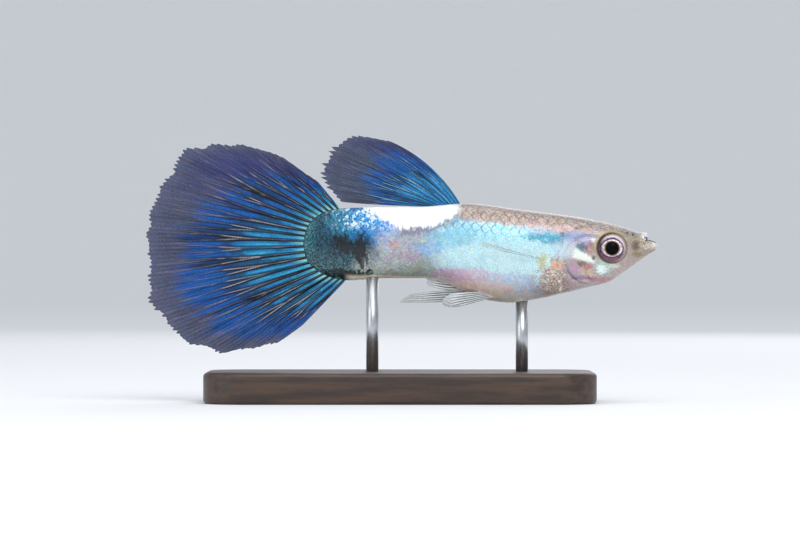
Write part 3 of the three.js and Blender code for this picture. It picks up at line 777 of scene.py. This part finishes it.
def scale_finish(look):
    """Pearly scales: dark rims on the back, white on the band, blue and dark teal towards the tail"""
    f = Finish("Guppy scales", Coat_Weight=0.4, Coat_Roughness=0.1, IOR=1.45)
    along, across, tone = f.attribute("ScalePlace")
    side = abs(across).step(0.88, 1.0) * along.step(0.45, 0.75) * 0.5
    rim = (along.step(0.82, 0.98) + side).clamp()
    colour, fleck, grain, band, jitter = body_colour(f, look, rim, tone)
    rings = (along * 60.0).math("SINE")
    return f.feed(
        Base_Color=head_colour(f, colour, fleck, grain, jitter),
        Roughness=tone * 0.12 + 0.3,
        Metallic=band * -0.3 + 0.3,
        Normal=f.bump(rings * 0.15 + grain, 0.25, 0.03),
    )


def blue_fin_finish(name, look, tones, turn, early):
    """A blue fin that goes grey violet past turn. early is four places across the fin, where the change
    begins and stops to come sooner, and by how much it does."""
    f = Finish(name, Coat_Weight=0.04, Coat_Roughness=0.3, Specular_IOR_Level=0.22)
    chart = f.chart()
    s, t, _ = f.parts(chart)
    core, shade, wild = f.attribute("Ray")
    streak = f.noise(1.0, 3.0, f.stretch(chart, 90.0, 3.2, 1.0), 2.0, 0.6)
    broad = f.noise(1.0, 2.0, f.stretch(chart, 18.0, 2.0, 1.0), 5.0)
    grain = f.noise(11.0, 3.0, rough=0.75)
    begin, full, last, end, amount = early
    sooner = s.step(begin, full) * s.step(end, last) * amount
    out = t + (streak - 0.5) * 0.3 + (broad - 0.5) * 0.34 + sooner
    violet = f.mix(grain.step(0.35, 0.65), look["margin"], tones["pale"])
    violet = f.mix(s.step(0.55, 0.8) * t.step(1.05, 0.7) * 0.75, violet, "2a2f72")
    joints = (t * 420.0 + wild * 40.0).math("SINE") * 0.2 + 0.8
    hatch = f.noise(1.0, 2.0, f.stretch(chart, 11.0, 5.0, 1.0), 9.0).step(0.5, 0.6)
    hatch = hatch * t.step(0.15, 0.3) * t.step(0.72, 0.55)
    inner = (0.12 + (streak - 0.5) * 1.8 + hatch * 0.5) * joints * t.step(0.95, 0.6)
    dark = (t.step(0.8, 0.3) * 0.6 + 0.36 + (broad - 0.5) * 1.6 + (streak - 0.5) * 0.8) * t.step(1.15, 0.6)
    colour = f.over(
        tones["inner"],
        (streak.step(0.42, 0.62) * 0.85 * out.step(0.7, 0.25), tones["streak"]),
        (out.step(0.34, 0.6), look["tail_blue"]),
        (broad.step(0.5, 0.66) * 0.75 * out.step(0.12, 0.4), tones["deep"]),
        (streak.step(0.44, 0.3) * 0.55, "04101f"),
        (out.step(turn - 0.1, turn + 0.08), violet),
        ((t + (streak - 0.5) * 0.2).step(0.88, 1.0) * 0.5, tones["pale"]),
        (grain.step(0.5, 0.72) * 0.45, "081424"),
        (grain.step(0.46, 0.32) * t.step(1.1, 0.2) * 0.3, "6fb6d6"),
        ((t + (streak - 0.5) * 0.3).step(0.17, 0.03) * 0.85, tones["root"]),
        (hatch * 0.6, "0a2233"),
        (streak.step(0.55, 0.64) * t.step(0.6, 0.85) * 0.5, "6f6c82"),
        (shade.step(0.12, 0.7) * (dark * tones["dark"]).clamp(), "050a14"),
        (core.step(0.2, 0.8) * inner.clamp(), tones["ray"]),
    )
    colour = f.shade(f.grains(colour, 8.0, 2.6, 0.45), 0.72 + grain * 0.56)
    relief = f.bump(grain + streak, 0.35, 0.04)
    return f.feed(Base_Color=colour, Roughness=streak * 0.2 + 0.42, Normal=relief)


def clear_fin_finish(name, tint, membrane, ray_alpha, dark, streaks=None):
    """A clear fin: whitish rays in a see-through membrane, dark only between streaks, if given"""
    f = Finish(name, Roughness=0.35, Coat_Weight=0.2)
    core, shade, _ = f.attribute("Ray")
    s, t, _ = f.parts(f.chart())
    grain = f.noise(8.0, 3.0)
    lines = (1 - shade.step(0.1, 0.6)) * dark
    if streaks:
        low, high = streaks
        lines = shade.step(0.5, 0.95) * s.step(low - 0.04, low) * s.step(high + 0.04, high)
        lines = lines * t.step(0.1, 0.3) * (grain * 1.6 - 0.1).clamp() * dark
    colour = f.over(
        tint,
        (grain.step(0.4, 0.6) * 0.5, "a9b0b0"),
        (shade.step(0.25, 0.8) * (0.6 + (grain - 0.5) * 1.6).clamp(), "f4f6f4"),
        (core * 0.9, "ffffff"),
        (lines, "262d30"),
    )
    return f.feed(Base_Color=colour, Alpha=(shade * ray_alpha + lines * 0.75 + membrane).clamp())


def eye_finish():
    """Pupil, silver ring, mauve ring and dark rim, under a clear wet coat"""
    f = Finish("Guppy eye", Coat_Weight=0.06, Coat_Roughness=0.04, Specular_IOR_Level=0.06)
    dx, dz, away = f.from_eye()
    fleck = f.noise(5.0, 3.0, rough=0.65)
    ring = away + (fleck - 0.5) * 0.12
    arc = ring.step(1.02, 1.1) * ring.step(1.32, 1.22) * (dz * 0.9 + dx * 0.35).step(-0.2, 0.9)
    oval = (dx * dx * 0.86 + dz * dz * 1.3).math("SQRT") + (fleck - 0.5) * 0.12
    shine = oval.step(0.99, 0.93)
    pupil = away.step(EYE["pupil"] + 0.02, EYE["pupil"] - 0.02)
    colour = f.over(
        f.mix(fleck.step(0.35, 0.65), "4a3757", "7d6880"),
        (dz.step(-0.3, -1.1) * 0.6, "90646c"),
        ((dx + dz * 0.4).step(0.5, 1.3) * 0.6, "a1928f"),
        (arc * 0.85, "e3d3d6"),
        (ring.step(1.2, 1.34) * ((dx + dz * 0.5).step(-0.9, 0.7) * 0.7 + 0.15), "b0a49d"),
        (oval.step(1.1, 1.02), "43314a"),
        (shine, f.mix(fleck.step(0.4, 0.6), "a48d90", "f6ecec")),
        ((away + (fleck - 0.5) * 0.1).step(0.8, 0.72), "8a7262"),
        (away.step(0.69, 0.65), "2d2124"),
        (pupil, "020203"),
    )
    return f.feed(Base_Color=colour, Roughness=pupil * 0.3 + 0.35, Metallic=shine * (1 - pupil) * 0.5)


def wood_finish(look):
    """Dark stained wood with grain along the base"""
    f = Finish("Stand wood", Coat_Weight=0.25, Coat_Roughness=0.3)
    grain = f.noise(1.0, 6.0, f.stretch(f.place, 0.12, 1.6, 1.6), rough=0.6)
    pores = f.noise(1.0, 3.0, f.stretch(f.place, 0.9, 14.0, 14.0), rough=0.7)
    colour = f.mix(grain.step(0.35, 0.68), look["wood"], "4a3323")
    colour = f.mix(pores.step(0.56, 0.68) * 0.6, colour, "120b07")
    return f.feed(Base_Color=colour, Roughness=pores * 0.3 + 0.35, Normal=f.bump(pores, 0.25, 0.05))


def steel_finish():
    """Brushed steel rods"""
    f = Finish("Stand steel", Metallic=1.0)
    brushed = f.noise(1.0, 2.0, f.stretch(f.place, 9.0, 9.0, 0.5))
    colour = f.mix(brushed, "a9adb2", "d3d6da")
    return f.feed(Base_Color=colour, Roughness=brushed * 0.2 + 0.2, Normal=f.bump(brushed, 0.1, 0.02))


def floor_finish():
    """Matt pale paper"""
    f = Finish("Stage paper", Roughness=0.85)
    return f.feed(Base_Color=f.mix(f.noise(0.5, 4.0), "e6e7e8", "ebebec"))


# Scales

def scale_places():
    """Every scale's root, as x and share of the girth, and its length"""
    rear, front = SCALE_SPAN
    found = []
    for row in range(SCALE_ROWS):
        share = (row + 0.5) / SCALE_ROWS
        x = front
        stride = 0.5 if row % 2 else 1.0
        while x > rear:
            pitch = SCALE_PITCH * (0.62 + 0.38 * float(rise(-9, 3, x)))
            x -= pitch * stride
            stride = 1.0
            root = SURFACE.at(np.array([x]), np.array([share]))[0]
            if scaled_area(root[0], root[2]) > 0.5:
                found.append((x, share, SCALE_LENGTH * pitch))
    return np.array(found)


def scale_mesh(name, places):
    """One joined mesh of scales, each a thin rounded plate bent to the body, its rear margin lifted"""
    plate = bmesh.new()
    bmesh.ops.create_grid(plate, x_segments=4, y_segments=8, size=1)
    thicken(plate)
    pattern = bpy.data.meshes.new("scale_plate")
    plate.to_mesh(pattern)
    plate.free()
    corner = np.array([v.co for v in pattern.vertices])
    a = np.interp(corner[:, 0], np.linspace(-1, 1, len(PLATE_ALONG)), PLATE_ALONG)
    b = np.interp(corner[:, 1], np.linspace(-1, 1, len(PLATE_ACROSS)), PLATE_ACROSS)
    upper = corner[:, 2]
    bm = bmesh.new()
    for _ in places:
        bm.from_mesh(pattern)
    bpy.data.meshes.remove(pattern)

    count = len(places)
    wild = scatter(np.arange(count), places[:, 1] * 7)
    x0, share0, length = (column[:, None] for column in places.T)
    along = a - 0.5 * b**2 * a
    width = 0.7 + 0.3 * np.sin(math.pi * np.clip(a, 0, 0.75) / 1.5)
    x = x0 - length * (along * (0.94 + 0.1 * wild[:, None]) + 0.05 * (scatter(wild, 2)[:, None] - 0.5))
    share = share0 + SCALE_HALF_WIDTH * b * width
    lift = 0.02 + 0.009 * a - 0.004 * b**2 - (1 - upper) * 0.012
    points = SURFACE.at(x.ravel(), share.ravel())
    looks = SURFACE.looking(x.ravel(), share.ravel())
    points = (points + looks * (np.tile(lift, count) - COAT_DEPTH)[:, None]) * MM

    place = bm.verts.layers.float_vector.new("ScalePlace")
    bake = bm.loops.layers.uv.new("OFBake")
    kept = np.column_stack([np.tile(a, count), np.tile(b, count), np.repeat(wild, len(a))])
    for vert, point, value in zip(bm.verts, points, kept):
        vert.co = point
        vert[place] = value
    start, end = BODY_ENDS
    home = (places[:, 0] - start) / (end - start)
    bm.verts.index_update()
    for face in bm.faces:
        face.smooth = len({upper[loop.vert.index % len(a)] for loop in face.loops}) == 1
        for loop in face.loops:
            scale, here = divmod(loop.vert.index, len(a))
            u = home[scale] + SCALE_PATCH * (a[here] * 2 - 1)
            loop[bake].uv = (u, places[scale, 1] + SCALE_PATCH * b[here])
    return piece_from(bm, name)


# Fins

def branching(s, t, rays, forks):
    """Rays that fork on their way out: how near each point is to a ray's core and to its dark sides, and a
    random number for the ray"""
    spot = np.clip(s, 0, 0.99999) * rays
    number = np.floor(spot)
    away = np.abs(spot - number - 0.5)
    width = np.full_like(away, 0.085)
    for level, fork in enumerate(forks):
        start = fork + 0.12 * (scatter(number, level) - 0.5)
        opened = rise(start, start + 0.42, t)
        away = np.abs(away - 0.25 / 2**level * opened)
        width *= 1 - 0.42 * opened
    return hill(away, width), hill(away, 3.0 * width), scatter(number, 7)


def ray_curve(root, bend, tip, t):
    """Points of rays that leave their root, bend and end at their tip; before the root they run straight"""
    ahead = np.clip(t, 0, None)[:, None]
    behind = np.clip(t, None, 0)[:, None]
    curve = (1 - ahead) ** 2 * root + 2 * ahead * (1 - ahead) * bend + ahead**2 * tip
    return curve + 2 * behind * (bend - root)


def tail_rays(s):
    """Root, bend and tip of the tail's rays at places s across the fin"""
    across = 2 * s - 1
    arc, fan = (np.where(across < 0, low, high) for low, high in zip(TAIL["lower"], TAIL["upper"]))
    turn = np.radians(across * fan)
    around = np.radians(across * arc)
    x, z, long, high = TAIL["base"]
    root = np.column_stack([x - long * np.cos(around), z + high * np.sin(around)])
    reach = np.interp(s, np.linspace(0, 1, len(TAIL["reach"])), TAIL["reach"])
    way = np.column_stack([-np.cos(turn), np.sin(turn)]) * reach[:, None]
    return root, root + way / 2, root + way


def dorsal_rays(s):
    place = s * (len(DORSAL) - 1)
    i = np.clip(np.floor(place).astype(int), 0, len(DORSAL) - 2)
    u = (place - i)[:, None, None]
    p0, p1, p2, p3 = (DORSAL[np.clip(i + k, 0, len(DORSAL) - 1)] for k in (-1, 0, 1, 2))
    square = 2 * p0 - 5 * p1 + 4 * p2 - p3
    cube = 3 * p1 - p0 - 3 * p2 + p3
    rays = (2 * p1 + (p2 - p0) * u + square * u**2 + cube * u**3) / 2
    return rays[:, 0], rays[:, 1], rays[:, 2]


def blade_rays(fin, s):
    drop = (s - 0.5) * fin["high"]
    root = np.column_stack([np.full_like(s, fin["root"][0]), fin["root"][1] + drop])
    bend = np.column_stack([np.full_like(s, fin["bend"][0]), fin["bend"][1] + 1.1 * drop])
    tip = np.column_stack([fin["tip"][0] + (s - 0.5) * fin["slant"], fin["tip"][1] + 0.7 * drop])
    return root, bend, tip


def flat_fin(rays_of, wave):
    """The middle sheet of a fin in the fish's middle plane, which wave(s) bends the more the farther out"""
    def middle(s, t):
        side_view = ray_curve(*rays_of(s), t)
        aside = np.clip(t, 0, None) ** 2 * wave(s)
        return np.column_stack([side_view[:, 0], aside, side_view[:, 1]]), np.array((0.0, 1.0, 0.0))
    return middle


def paired_fin(fin, side):
    """The middle sheet of a fin that trails back and out from the body's side"""
    out, lift = math.radians(fin["out"]), math.radians(fin["lift"])
    back = Vector((-math.cos(out) * math.cos(lift), side * math.sin(out), math.sin(lift)))
    up = (Vector((0, 0, 1)) - back * back.z).normalized()
    root = np.array((fin["x"], side * fin["y"], fin["z"]))

    def middle(s, t):
        across = 2 * s - 1
        turn = np.radians(across * fin["spread"])
        length = fin["length"] * (1 - 0.3 * np.abs(across) ** 2.5)
        rising = across * fin["root"] + np.sin(turn) * t * length
        cupped = 0.35 * (across**2 - 0.4) * np.clip(t, 0, 1) ** 2
        trailing = np.cos(turn) * t * length
        points = root + rising[:, None] * np.array(up) + trailing[:, None] * np.array(back)
        return points + cupped[:, None] * np.array((0, -side * 0.6, 0)), np.array(back.cross(up))
    return middle


def fin_mesh(name, middle, rays, forks, faces, start, teeth, skin, ray, pleat=0.0, points=4):
    """A fin: a pleated membrane of half thickness skin, with forked rays that stand out of both faces by
    ray. Each ends in some points, which teeth cuts into the margin."""
    def spread(s, v):
        t = start + (1 - start) * v
        spot = s * rays * points
        spike = 1 - np.abs(2 * (spot - np.floor(spot)) - 1)
        high = scatter(np.floor(spot), 3)
        step = scatter(np.floor(np.clip(s, 0, 0.9999) * rays), 5)
        return t + rise(0.88, 1, v) * teeth * ((0.15 + 1.2 * high) * spike + 0.4 * step - 0.9), t

    def place(s, v, side):
        reach, t = spread(s, v)
        points, normal = middle(s, reach)
        core, _, _ = branching(s, t, rays, forks)
        ahead = np.clip(t, 0, 1)
        half = skin * (1 - 0.55 * ahead) + ray * core * (1 - 0.72 * ahead)
        sway = pleat * np.sin(2 * math.pi * s * rays) * rise(0.1, 1, t)
        return points + normal * (sway + (2 * side - 1) * half)[:, None]

    def marks(s, v):
        core, shade, wild = branching(s, start + (1 - start) * v, rays, forks)
        return {"Ray": np.column_stack([core, shade, wild])}

    return sheet_mesh(name, faces, place, marks, thick=True)


BLUE_FINS = {
    "tail_fin": {
        "rays_of": tail_rays,
        "wave": lambda s: 0.7 * np.sin(5.2 * s - 0.7),
        "shape": dict(rays=22, forks=(0.2, 0.46, 0.72), faces=(440, 100), teeth=0.024, pleat=0.03),
        "finish": "Tail fin",
        "tones": {"root": "a5e8dc", "inner": "1273a8", "streak": "38a8cc", "deep": "05204c",
                  "pale": "5c6079", "ray": "b7b2c2", "dark": 1.1},
        "turn": 0.82,
        "early": (0.5, 0.75, 0.88, 1.0, 0.24),
    },
    "dorsal_fin": {
        "rays_of": dorsal_rays,
        "wave": lambda s: -0.55 * np.cos(3.4 * s),
        "shape": dict(rays=11, forks=(0.2, 0.45, 0.7), faces=(220, 90), teeth=0.045, pleat=0.02, points=2),
        "finish": "Dorsal fin",
        "tones": {"root": "1f8ac4", "inner": "1676ba", "streak": "4fb6e0", "deep": "063068",
                  "pale": "4a5268", "ray": "9ccfe6", "dark": 0.6},
        "turn": 0.72,
        "early": (0.5, 0.1, 0.0, -1.0, 0.12),
    },
}


# What a user may change

class GuppySizes(bpy.types.PropertyGroup):
    skin_loops: bpy.props.IntProperty(
        name="Skin loops", description="Loops of faces along the body", default=300, min=60
    )
    skin_sides: bpy.props.IntProperty(
        name="Skin sides", description="Faces round the body", default=208, min=48
    )
    fin_skin: bpy.props.FloatProperty(
        name="Fin membrane", description="Half the thickness of a fin's membrane at its root",
        default=0.07 * MM, unit="LENGTH", subtype="DISTANCE",
    )
    ray_height: bpy.props.FloatProperty(
        name="Ray height", description="How far a tail ray stands out of each face at its root",
        default=0.13 * MM, unit="LENGTH", subtype="DISTANCE",
    )
    lamp_power: bpy.props.FloatProperty(
        name="Lamp power", description="Power of the main studio lamp", default=0.8, unit="POWER",
    )


def paint(name, description, code):
    """A colour that a user may change"""
    return bpy.props.FloatVectorProperty(
        name=name, description=description, default=linear(code), size=4, subtype="COLOR", min=0, max=1
    )


class GuppyColours(bpy.types.PropertyGroup):
    back: paint("Back", "Brown of the netted back", "8f7d70")
    flank: paint("Flank", "Pale cyan of the flank", "b5dfe9")
    band: paint("Band", "White band under the dorsal fin", "fbfbf8")
    gleam: paint("Gleam", "Bright blue scales behind the band", "1f8fd8")
    tail_blue: paint("Tail blue", "Deep blue of the tail's middle", "04509e")
    margin: paint("Margin", "Grey violet of the fins' outer part", "363b55")
    wood: paint("Wood", "Stained wood of the base", "2a1c13")


# The pieces

class GUPPY_OT_skin(bpy.types.Operator):
    """Flesh from the tail to the lips as one skin, with gill covers, nostrils, eye sockets and mouth"""
    bl_idname = "guppy.skin"
    bl_label = "Skin"
    def execute(self, context):
        sizes = context.scene.guppy_sizes

        def place(s, t, side):
            return skin_points(np.interp(s, *SKIN_STOPS), t)[0]

        def marks(s, t):
            mouth = skin_points(np.interp(s, *SKIN_STOPS), t)[1]
            return {"Mouth": np.column_stack([mouth] * 3)}

        skin = sheet_mesh("skin", (sizes.skin_loops, sizes.skin_sides), place, marks, thick=False)
        fit(skin, "head_skin", skin_finish(paints(context)), "head", "lower_jaw", "trunk", "tail_stem",
            "gill_cover_right", "gill_cover_left")
        return {"FINISHED"}


class GUPPY_OT_scales(bpy.types.Operator):
    """Overlapping scales on each side, from behind the gill covers to the tail fin"""
    bl_idname = "guppy.scales"
    bl_label = "Scales"

    def execute(self, context):
        places = scale_places()
        finish = scale_finish(paints(context))
        for word, side in SIDES.items():
            mine = places[(places[:, 1] < 0.5) == (side < 0)]
            fit(scale_mesh(f"scales_{word}", mine), "flank_skin", finish)
        return {"FINISHED"}


class GUPPY_OT_blue_fins(bpy.types.Operator):
    """The delta tail fin and the dorsal fin"""
    bl_idname = "guppy.blue_fins"
    bl_label = "Tail and dorsal fins"

    def execute(self, context):
        sizes = context.scene.guppy_sizes
        look = paints(context)
        depth = {"start": -0.12, "skin": sizes.fin_skin / MM, "ray": sizes.ray_height / MM}
        for node, fin in BLUE_FINS.items():
            middle = flat_fin(fin["rays_of"], fin["wave"])
            piece = fin_mesh(f"{node}_rays", middle, **fin["shape"], **depth)
            finish = blue_fin_finish(fin["finish"], look, fin["tones"], fin["turn"], fin["early"])
            fit(piece, "blue_fin", finish, node)
        return {"FINISHED"}


class GUPPY_OT_clear_fins(bpy.types.Operator):
    """The anal fin of a male, the pelvic fins and the pectoral fins"""
    bl_idname = "guppy.clear_fins"
    bl_label = "Clear fins"

    def execute(self, context):
        shapes = {key: dict(zip(FIN_KEYS, values)) for key, values in CLEAR_FINS.items()}
        whitish = clear_fin_finish("Anal fin", "8d9595", 0.75, 0.3, 0.55)
        for key, blade, nodes in (("anal_fin", ANAL, ["anal_fin"]), ("anal_fin_rear", ANAL_REAR, [])):
            middle = flat_fin(partial(blade_rays, blade), np.zeros_like)
            fit(fin_mesh(f"{key}_rays", middle, **shapes[key]), "clear_fin", whitish, *nodes)
        thin = clear_fin_finish("Pelvic fins", "98a1a2", 0.6, 0.35, 0.5)
        glassy = clear_fin_finish("Pectoral fins", "cfe0e4", 0.02, 0.02, 1.0, (0.58, 0.72))
        for word, side in SIDES.items():
            for key, fin, finish in (("pelvic_fin", PELVIC, thin), ("pectoral_fin", PECTORAL, glassy)):
                piece = fin_mesh(f"{key}_{word}_rays", paired_fin(fin, side), **shapes[key])
                fit(piece, "clear_fin", finish, f"{key}_{word}")
        return {"FINISHED"}


class GUPPY_OT_eyes(bpy.types.Operator):
    """Both eyes, with a lens that stands out of the iris"""
    bl_idname = "guppy.eyes"
    bl_label = "Eyes"

    def execute(self, context):
        finish = eye_finish()
        size = (EYE["radius"], EYE["depth"], EYE["radius"])
        for word, side in SIDES.items():
            bm = bmesh.new()
            bmesh.ops.create_uvsphere(bm, u_segments=72, v_segments=48, radius=1)
            bmesh.ops.rotate(bm, verts=bm.verts, matrix=Matrix.Rotation(math.pi / 2, 3, "X"))
            bmesh.ops.scale(bm, verts=bm.verts, vec=size)
            for vert in bm.verts:
                away = math.hypot(vert.co.x, vert.co.z)
                if vert.co.y * side > 0:
                    lens = 0.08 * max(0.0, 1 - (away / EYE["pupil"]) ** 2)
                    groove = 0.03 * float(hill(away - EYE["pupil"] - 0.06, 0.05))
                    vert.co.y += side * (lens - groove)
            bmesh.ops.translate(bm, verts=bm.verts, vec=(EYE["x"], side * EYE["y"], EYE["z"]))
            bmesh.ops.scale(bm, verts=bm.verts, vec=(MM, MM, MM))
            for face in bm.faces:
                face.smooth = True
            fit(piece_from(bm, f"eyeball_{word}"), "eye", finish, f"eye_{word}")
        return {"FINISHED"}


class GUPPY_OT_stand(bpy.types.Operator):
    """Wooden base with rounded corners, and two steel rods up to the belly"""
    bl_idname = "guppy.stand"
    bl_label = "Stand"

    def execute(self, context):
        low, high = (Vector(corner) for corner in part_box("stand_base"))
        thickness = STAND["thickness"] * MM
        bm = bmesh.new()
        bmesh.ops.create_cube(bm, size=1)
        bmesh.ops.scale(bm, verts=bm.verts, vec=high - low)
        bmesh.ops.translate(bm, verts=bm.verts, vec=(low + high) / 2)
        upright = [e for e in bm.edges if abs((e.verts[0].co - e.verts[1].co).z) > 0.5 * thickness]
        bmesh.ops.bevel(bm, geom=upright, offset=STAND["corner"] * MM, affect="EDGES",
                        segments=14, profile=0.5, material=-1)
        rim = [e for e in bm.edges if e.is_manifold and e.calc_face_angle() > 1.2]
        bmesh.ops.bevel(bm, geom=rim, offset=STAND["edge"] * MM, affect="EDGES",
                        segments=4, profile=0.5, material=-1)
        base = piece_from(bm, "stand_plinth", flat_ends=True)
        fit(base, "stand_base", wood_finish(paints(context)), "stand_base")
        steel = steel_finish()
        for word, x in RODS.items():
            low, high = (Vector(corner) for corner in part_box(f"stand_rod_{word}"))
            radius = (high.x - low.x) / 2
            top = (float(body_at([x])["bottom"][0]) + SUNK["belly"]) * MM
            bottom = thickness - SUNK["base"] * MM
            bm = bmesh.new()
            bmesh.ops.create_cone(bm, cap_ends=True, segments=48, radius1=radius, radius2=radius,
                                  depth=top - bottom)
            bmesh.ops.translate(bm, verts=bm.verts, vec=((low.x + high.x) / 2, 0, (top + bottom) / 2))
            rod = piece_from(bm, f"stand_pin_{word}", flat_ends=True)
            fit(rod, "stand_rod", steel, f"stand_rod_{word}")
        return {"FINISHED"}


class GUPPY_OT_stage(bpy.types.Operator):
    """Pale floor that curves up far away on every side, soft studio lamps, and the camera"""
    bl_idname = "guppy.stage"
    bl_label = "Stage"

    def execute(self, context):
        scene = context.scene
        bm = bmesh.new()
        bmesh.ops.create_circle(bm, segments=96, radius=0.05, cap_ends=False)
        edges = bm.edges[:]
        bmesh.ops.contextual_create(bm, geom=edges)
        for turn in np.radians(np.arange(0, 91, 9)):
            radius = FLOOR_FLAT + FLOOR_BEND * math.sin(turn)
            made = bmesh.ops.extrude_edge_only(bm, edges=edges)
            edges = parts_of(made, bmesh.types.BMEdge)
            for vert in parts_of(made, bmesh.types.BMVert):
                flat = vert.co.xy.normalized() * radius
                vert.co = (flat.x, flat.y, FLOOR_BEND * (1 - math.cos(turn)))
        floor = piece_from(bm, "floor", flat_ends=True)
        floor.data.materials.append(floor_finish())

        world = bpy.data.worlds.new("Studio")
        world.use_nodes = True
        sky = world.node_tree.nodes["Background"]
        sky.inputs["Color"].default_value = linear("e6ebf2")
        sky.inputs["Strength"].default_value = SKY_STRENGTH
        scene.world = world
        for name, (place, size, share) in LAMPS.items():
            lamp = bpy.data.lights.new(name, "AREA")
            lamp.size = size
            lamp.energy = scene.guppy_sizes.lamp_power * share
            holder = bpy.data.objects.new(name, lamp)
            holder.location = place
            holder.rotation_euler = (LAMP_AIM - Vector(place)).to_track_quat("-Z", "Y").to_euler()
            scene.collection.objects.link(holder)

        data = bpy.data.cameras.new("camera")
        data.lens = LENS
        data.sensor_width = SENSOR
        data.clip_start = 0.002
        camera = bpy.data.objects.new("camera", data)
        camera.location = (0, -FRAME_WIDTH * MM * LENS / SENSOR, VIEW_HEIGHT * MM)
        camera.rotation_euler = (math.pi / 2, 0, 0)
        scene.collection.objects.link(camera)
        scene.camera = camera
        scene.view_settings.view_transform = "Standard"
        return {"FINISHED"}


def paints(context):
    """The chosen colours by name"""
    chosen = context.scene.guppy_colours
    return {key: tuple(getattr(chosen, key)) for key in GuppyColours.__annotations__}


PIECES = (
    GUPPY_OT_skin,
    GUPPY_OT_scales,
    GUPPY_OT_blue_fins,
    GUPPY_OT_clear_fins,
    GUPPY_OT_eyes,
    GUPPY_OT_stand,
    GUPPY_OT_stage,
)


class GUPPY_PT_pieces(bpy.types.Panel):
    """Sizes, colours and the pieces in the order they are made"""
    bl_idname = "GUPPY_PT_pieces"
    bl_label = "Guppy"
    bl_space_type = "VIEW_3D"
    bl_region_type = "UI"
    bl_category = "Guppy"

    def draw(self, context):
        for group in (context.scene.guppy_sizes, context.scene.guppy_colours):
            for key in type(group).__annotations__:
                self.layout.prop(group, key)
        for piece in PIECES:
            self.layout.operator(piece.bl_idname)


CLASSES = (GuppySizes, GuppyColours, *PIECES, GUPPY_PT_pieces)


def register():
    for item in CLASSES:
        bpy.utils.register_class(item)
    bpy.types.Scene.guppy_sizes = bpy.props.PointerProperty(type=GuppySizes)
    bpy.types.Scene.guppy_colours = bpy.props.PointerProperty(type=GuppyColours)


def unregister():
    del bpy.types.Scene.guppy_sizes
    del bpy.types.Scene.guppy_colours
    for item in reversed(CLASSES):
        bpy.utils.unregister_class(item)


def main():
    register()
    bpy.ops.guppy.skin()
    bpy.ops.guppy.scales()
    bpy.ops.guppy.blue_fins()
    bpy.ops.guppy.clear_fins()
    bpy.ops.guppy.eyes()
    bpy.ops.guppy.stand()
    bpy.ops.guppy.stage()


if __name__ == "__main__":
    main()
